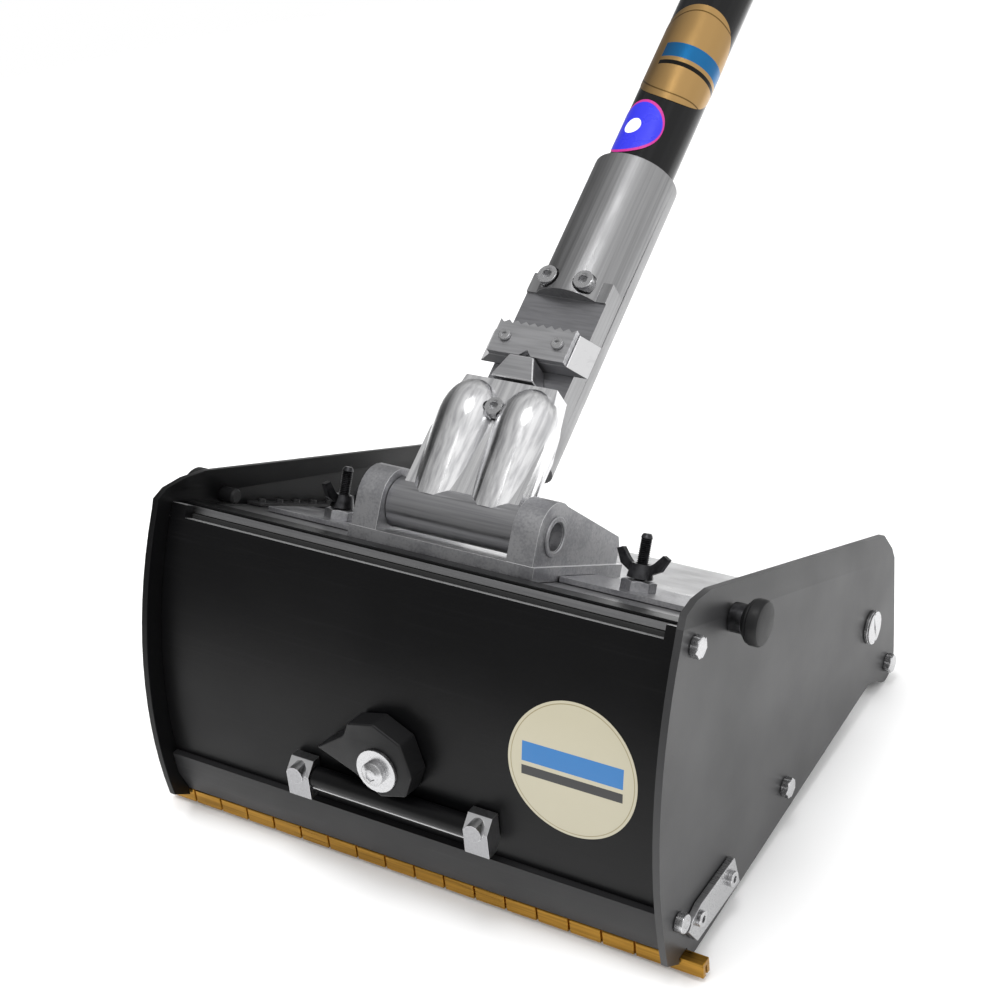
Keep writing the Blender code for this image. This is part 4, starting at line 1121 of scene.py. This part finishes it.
@dataclass
class CrownDial:
    """The dial, its screw, the crown bar and the two clips."""

    thick: float = 0.0110
    outline: tuple[Point, ...] = (
        (-0.0312, 0.0016),
        (-0.0121, -0.0055),
        (0.0006, -0.0129),
        (0.0129, -0.0094),
        (0.0164, 0.0006),
        (0.0115, 0.0144),
        (-0.0016, 0.0205),
        (-0.0144, 0.0176),
        (-0.0167, 0.0115),
    )

    def build(self) -> None:
        """Build the dial and what holds it."""
        place = DIAL @ OUTWARD @ move(0, 0, 0.0003 + self.thick / 2)
        dial = prism("dial_cam", list(self.outline), self.thick, place)
        soften(dial, 0.0009, 3)
        combine(dial, bar("bore", 0.0034, 0.05, DIAL @ OUTWARD, 32), "DIFFERENCE")
        pick(dial)
        bpy.ops.object.shade_smooth_by_angle(angle=math.radians(35))
        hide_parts("crown_dial")
        DRESSER.dress(dial, NYLON, "dial")
        face = DIAL @ OUTWARD @ move(0, 0, 0.0006 + self.thick)
        profile = [(0.0032, 0), (0.0095, 0), (0.0095, 0.0011), (0.0091, 0.0014), (0.0032, 0.0014)]
        washer = spun("dial_washer", profile, face, 64)
        DRESSER.dress(washer, STRIP, "box")
        head = SCREWS.socket("dial_screw_head", 0.0052, 0.0030, face @ move(0, 0, 0.0014), 0.0010)
        DRESSER.dress(head, ZINC, "box")
        finer("dial_screw", 0.0, ZINC, "box")
        self.rail()
        for side in Side:
            clip = finer(side.label + "_bar_clip", 0.0008, SATIN_STEEL, "box", 3)
            wear(clip, RUBBED_AND_PAINTED_HIGHLIGHT, 0.0006)
        LOG.info("dial: cam, washer, screw, rail, clips")

    def rail(self) -> None:
        """The round crown bar, with a thin bright steel strip along its lower edge as a painted highlight.
        """
        low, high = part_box("spring_bar")
        middle = node_centre("spring_bar")
        rail = bar(
            "crown_rail", (high[2] - low[2]) / 2, high[0] - low[0], Matrix.Translation(middle) @ TO_X, 48
        )
        soften(rail, 0.0005, 2)
        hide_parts("spring_bar")
        DRESSER.dress(rail, BLACK_SHEET, "crown_bar")
        # a thin bright steel strip along the bar's lower edge: a painted highlight
        edge = Matrix.Translation(middle + Vector((0, -0.0031, -0.0033))) @ TO_X
        highlight_wire = bar("crown_rail_edge", 0.0006, high[0] - low[0] - 0.0004, edge, 24)
        soften(highlight_wire, 0.0002, 2)
        DRESSER.dress(highlight_wire, STRIP, "crown_bar")


@dataclass
class Lid:
    """The pressure lid with its seal, strips, bracket and clamps."""

    stud_x: float = 0.075
    stud_y: float = -0.143
    lug_face: float = 0.0446

    def build(self) -> None:
        """Build what moves with the lid."""
        finer("pressure_lid", 0.0004, LID_SHEET, "lid")
        finer("lid_seal", 0.0005, RUBBER, "lid")
        for side in Side:
            finer(side.label + "_seal_strip", 0.0002, GREY_BAR, "lid", 1)
            finer(side.label + "_clamp_bar", 0.0006, CASTING, "lid")
            self.stud(side)
            finer(side.label + "_wing_nut", 0.0006, BLACK_STEEL, side.label + "_nut", 3)
        bracket = finer("handle_bracket", 0.0010, CASTING, "lid", 2)
        wear(bracket, RUBBED_AND_PAINTED_HIGHLIGHT, 0.0009)
        finer("pivot_pin", 0.0003, ZINC, "lid")
        wiper = block("lid_front_wiper", (-0.1225, -0.1934, 0.0081), (0.1225, -0.1800, 0.0093), LID)
        soften(wiper, 0.0004, 2)
        DRESSER.dress(wiper, BLACK_SHEET, "lid")
        for side in Side:
            face = HANDLE @ side.facing @ move(0, 0, self.lug_face)
            profile = [(
                0.0062, 0
            ), (0.0086, 0), (0.0086, 0.0004), (0.0082, 0.0007), (0.0066, 0.0007), (0.0062, 0.0003)]
            ring = spun(side.label + "_lug_ring", profile, face, 48)
            DRESSER.dress(ring, CASTING, "lid")
        LOG.info("lid: sheet, seal, strips, bracket, clamps, nuts")

    def stud(self, side: Side) -> None:
        """A threaded stud with its hexagon."""
        place = LID @ move(side.value * self.stud_x, self.stud_y, 0)
        low, high = 0.0055, 0.0341
        profile = [(0, low), (0.0024, low)]
        pitch = 0.0008
        count = int((high - 0.0010 - 0.0150) / pitch)
        for index in range(count):
            start = 0.0150 + index * pitch
            profile += [(0.00205, start), (0.0025, start + pitch / 2)]
        profile += [(0.0021, high - 0.0006), (0.0016, high), (0, high)]
        stud = spun(side.label + "_threaded_stud", profile, place, 32)
        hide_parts(side.label + "_stud")
        DRESSER.dress(stud, BLACK_STEEL, "lid")
        head = SCREWS.hexagon(side.label + "_stud_hexagon", 0.0075, 0.0045, place @ move(0, 0, 0.0105))
        DRESSER.dress(head, CASTING, "lid")


@dataclass
class Handle:
    """The pivoting arm, the head, the tube, the grip and the brake."""

    flute: float = 0.0142
    flute_x: float = 0.0143
    barrel: float = 0.0110
    barrel_length: float = 0.0634

    def head(self) -> None:
        """The cast head, the arm and the plates in front of it."""
        self.arm()
        head = finer("head_casting", 0.0007, SLEEVE, "handle", 3)
        ahead = HANDLE.to_3x3() @ Vector((0, 0, 1))
        neck = (HANDLE @ Vector((0, 0.116, 0)), HANDLE.to_3x3() @ Vector((0, 1, 0)))
        coat(
            head,
            CHANNEL,
            lambda centre,
            normal: normal.dot(ahead) > 0.9 and (centre - neck[0]).dot(neck[1]) < 0,
        )
        wedge = finer("wedge_block", 0.0006, MILLED, "handle")
        wear(wedge, RUBBED_AND_PAINTED_HIGHLIGHT, 0.0005)
        cradle = finer("plate_cradle", 0.0006, MILLED, "handle")
        # the cradle's side chamfers in bright metal: a painted highlight
        coat(cradle, RUBBED_AND_PAINTED_HIGHLIGHT, lambda _, normal: 0.3 < abs(normal.x) < 0.95)
        finer("toothed_plate", 0.0002, MILLED, "handle", 1)
        for side in Side:
            self.screw(side.label + "_plate_screw", (side.value * 0.0131, 0.0825, 0.0102), 0.0027, 0.0008)
            self.screw(side.label + "_sleeve_screw", (side.value * 0.0090, 0.1180, 0.0055), 0.0046, 0.0026)
        self.screw("arm_screw", (0, 0.0460, 0.0141), 0.0042, 0.0022)

    def screw(self, node: str, top: tuple[float, float, float], radius: float, depth: float) -> None:
        """A screw with a hexagon socket sunk in its head.

        Args:
            node: the CAD node.
            top: middle of the head's top in the handle's frame.
            radius: radius of the head.
            depth: depth of the socket.
        """
        screw = refine(node, 0.0003)
        socket = bar("socket", radius * 0.52, depth * 2, HANDLE @ Matrix.Translation(top), 6)
        combine(screw, socket, "DIFFERENCE")
        shade(screw)
        DRESSER.dress(screw, ZINC, "handle")

    def arm(self) -> None:
        """The arm casting: barrel, tapered block and two domed flutes."""
        back, front = -0.0027, 0.0090
        points = [
            (-0.0280, 0.0030),
            (0.0280, 0.0030),
            (0.0280, 0.0330),
            (0.0225, 0.0610),
            (-0.0225, 0.0610),
            (-0.0280, 0.0330),
        ]
        block_place = HANDLE @ move(0, 0, (front + back) / 2)
        arm = prism("arm_fine", points, front - back, block_place)
        length = 0.0300
        profile = [(0, -length), (self.flute, -length), (self.flute, 0.0060)]
        for step in range(1, 10):
            turn = math.pi / 2 * step / 10
            profile.append((self.flute * math.cos(turn) ** 0.9, 0.0060 + 0.0200 * math.sin(turn)))
        profile.append((0, 0.0260))
        for side in Side:
            lean = spin(11, "X") @ TO_Y
            place = HANDLE @ move(side.value * self.flute_x, 0.0340, 0.0030) @ lean
            combine(arm, spun("flute", profile, place, 48), "UNION")
        combine(arm, block("under", (-0.05, -0.05, -0.05), (0.05, 0.10, back), HANDLE), "DIFFERENCE")
        combine(arm, bar("barrel", self.barrel, self.barrel_length, HANDLE @ TO_X, 48), "UNION")
        combine(arm, bar("bore", 0.0060, 0.12, HANDLE @ TO_X, 32), "DIFFERENCE")
        seat = HANDLE @ move(0, 0.0460, 0.0198)
        combine(arm, bar("seat", 0.0048, 0.0200, seat, 32), "DIFFERENCE")
        combine(arm, bar("hole", 0.0028, 0.0800, seat, 24), "DIFFERENCE")
        soften(arm, 0.0006, 2)
        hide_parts("pivot_arm")
        DRESSER.dress(arm, BUFFED, "handle")
        local = HANDLE.inverted()
        coat(arm, BARREL, lambda centre, _: (local @ centre).y < 0.0095)

    def grip(self) -> None:
        """The moulded grip with its rings and rolled end."""
        low, end = 0.1500, 0.0
        profile = [(0, end), (0.0150, end), (0.0178, end - 0.0012), (0.0190, end - 0.0040)]
        rings = 20
        for index in range(rings):
            start = end - 0.0120 - index * 0.0060
            profile += [(
                0.0190, start
            ), (0.0183, start - 0.0007), (0.0183, start - 0.0019), (0.0190, start - 0.0026)]
        profile += [
            (0.0190, end - low + 0.0070),
            (0.0208, end - low + 0.0050),
            (0.0210, end - low + 0.0024),
            (0.0200, end - low),
            (0.016175, end - low),
            (0.016175, end - 0.0057),
            (0, end - 0.0057),
        ]
        place = HANDLE @ move(0, HANDLE_LENGTH, -AXIS_DROP) @ TO_Y
        grip = spun("grip_ringed", profile, place, 72)
        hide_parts("rubber_grip")
        DRESSER.dress(grip, RUBBER, "handle")

    def stickers(self) -> None:
        """The gold wrap and the blue sticker on the tube."""
        wrap = film("tube_wrap", 0.0275, TUBE_RADIUS + FILM_GAP, WRAP)
        DRESSER.dress(wrap, GOLD_FOIL, "handle")
        sticker = film("tube_sticker", 0.0150, TUBE_RADIUS + FILM_GAP, STICKER)
        DRESSER.dress(sticker, BLUE_VINYL, "handle")

    def pole(self) -> None:
        """Tube, grip, lever, bracket and brake rod."""
        finer("handle_tube", 0.0, LACQUER, "handle")
        self.grip()
        self.stickers()
        finer("lever_bracket", 0.0006, CASTING, "handle")
        finer("lever_pin", 0.0003, ZINC, "handle")
        finer("brake_lever", 0.0008, SLEEVE, "lever", 3)
        finer("brake_rod", 0.0003, ZINC, "brake")

    def build(self) -> None:
        """Build the handle."""
        self.head()
        self.pole()
        LOG.info("handle: head, arm, plates, tube, grip, lever, rod")


# ---------------------------------------------------------------- studio
@dataclass
class Studio:
    """Pale floor, soft lights, white surround and the camera."""

    eye: tuple[float, float, float] = (0.39523, -0.873682, 0.53161)
    right: tuple[float, float, float] = (0.84878, 0.52054, -0.09282)
    up: tuple[float, float, float] = (-0.18887, 0.46243, 0.86631)
    forward: tuple[float, float, float] = (-0.49387, 0.71777, -0.49081)
    lens: float = 67.16
    floor_radius: float = 1.3
    panels: tuple[tuple[int, float, float, float], ...] = (
        (2, 0.35, 0.95, 0.55),
        (0, 0.10, 0.90, 0.75),
        (1, 0.10, 0.90, 0.30),
        (1, -0.20, -1.0, 0.35),
        (2, -1.0, -0.9, 0.04),
    )

    def camera(self) -> None:
        """Stand the camera at its place."""
        data = bpy.data.cameras.new("camera")
        data.lens = self.lens
        data.sensor_width = 36
        data.clip_start = 0.01
        obj = bpy.data.objects.new("camera", data)
        bpy.context.scene.collection.objects.link(obj)
        back = -Vector(self.forward)
        axes = Matrix((self.right, self.up, back)).transposed().to_4x4()
        obj.matrix_world = Matrix.Translation(self.eye) @ axes
        bpy.context.scene.camera = obj

    def floor(self) -> None:
        """A round pale floor just under the blade, fading into the surround at its rim."""
        deselect()
        bpy.ops.mesh.primitive_circle_add(
            vertices=96, radius=self.floor_radius, fill_type="NGON", location=(0, -0.1, -0.0003)
        )
        obj = bpy.context.object
        obj.name = "floor"
        material = bpy.data.materials.new("studio_paper_white")
        material.use_nodes = True
        tree = material.node_tree
        shader = tree.nodes["Principled BSDF"]
        shader.inputs["Base Color"].default_value = srgb("#f8f8f8")
        shader.inputs["Roughness"].default_value = 0.9
        shader.inputs["Specular IOR Level"].default_value = 0.1
        reach = add_node(
            tree, "VectorMath", {0: add_node(tree, "TexCoord").outputs["Object"]}, operation="LENGTH"
        )
        fade = add_node(
            tree, "MapRange", {"Value": reach.outputs["Value"]}, in_1=0.75, in_2=1.25, in_3=1.0, in_4=0.0
        )
        tree.links.new(fade.outputs[0], shader.inputs["Alpha"])
        obj.data.materials.append(material)

    def lamp(
        self,
        name: str,
        place: tuple[float, float, float],
        size: tuple[float, float],
        power: float,
        glossy: bool = False,
    ) -> None:
        """A soft box that faces the tool.

        Args:
            name: the lamp's name.
            place: where it hangs.
            size: its width and height in metres.
            power: its power in watts.
            glossy: whether shiny surfaces mirror it.
        """
        data = bpy.data.lights.new(name, "AREA")
        data.shape = "RECTANGLE"
        data.size = size[0]
        data.size_y = size[1]
        data.energy = power
        obj = bpy.data.objects.new(name, data)
        bpy.context.scene.collection.objects.link(obj)
        towards = Vector((0, -0.28, 0.12)) - Vector(place)
        obj.rotation_euler = towards.to_track_quat("-Z", "Y").to_euler()
        obj.location = place
        obj.visible_glossy = glossy

    def surround(self) -> None:
        """The surround: white where it is seen, darker towards the left and the front in reflections."""
        world = bpy.data.worlds.new("studio")
        world.use_nodes = True
        bpy.context.scene.world = world
        tree = world.node_tree
        tree.nodes.clear()
        coord = add_node(tree, "TexCoord")
        split = add_node(tree, "SeparateXYZ", {0: coord.outputs["Generated"]})
        glow: Socket | None = None
        for axis, start, end, strength in self.panels:
            value = split.outputs[axis]
            panel = add_node(
                tree, "MapRange", {"Value": value}, in_1=start, in_2=end, in_3=0.0, in_4=strength
            )
            if glow is None:
                glow = panel.outputs[0]
            else:
                glow = add_node(tree, "Math", {0: glow, 1: panel.outputs[0]}, operation="ADD").outputs[0]
        mirror = add_node(tree, "Background", {"Strength": glow})
        seen = add_node(tree, "Background", in_Strength=1.0)
        for shade_node in (mirror, seen):
            shade_node.inputs[0].default_value = (1, 1, 1, 1)
        path = add_node(tree, "LightPath")
        both = add_node(
            tree, "MixShader", {0: path.outputs["Is Glossy Ray"], 1: seen.outputs[0], 2: mirror.outputs[0]}
        )
        add_node(tree, "OutputWorld", {0: both.outputs[0]})

    def build(self) -> None:
        """Set the studio up."""
        self.camera()
        self.floor()
        self.lamp("key", (-0.35, -0.55, 1.7), (1.1, 1.1), 16)
        self.lamp("glint", (0.27, -0.58, 1.6), (0.45, 0.45), 4.5, glossy=True)
        self.lamp("right", (1.6, -0.1, 0.9), (0.8, 1.2), 6)
        self.surround()
        view = bpy.context.scene.view_settings
        view.view_transform = "Standard"
        LOG.info("studio: camera, floor, lamps, surround")


def main() -> None:
    """Build every sub-assembly in order."""
    logging.basicConfig(level=logging.INFO, format="%(message)s")
    Studio().build()
    Box().build()
    CrownDial().build()
    Lid().build()
    Handle().build()


if __name__ == "__main__":
    main()
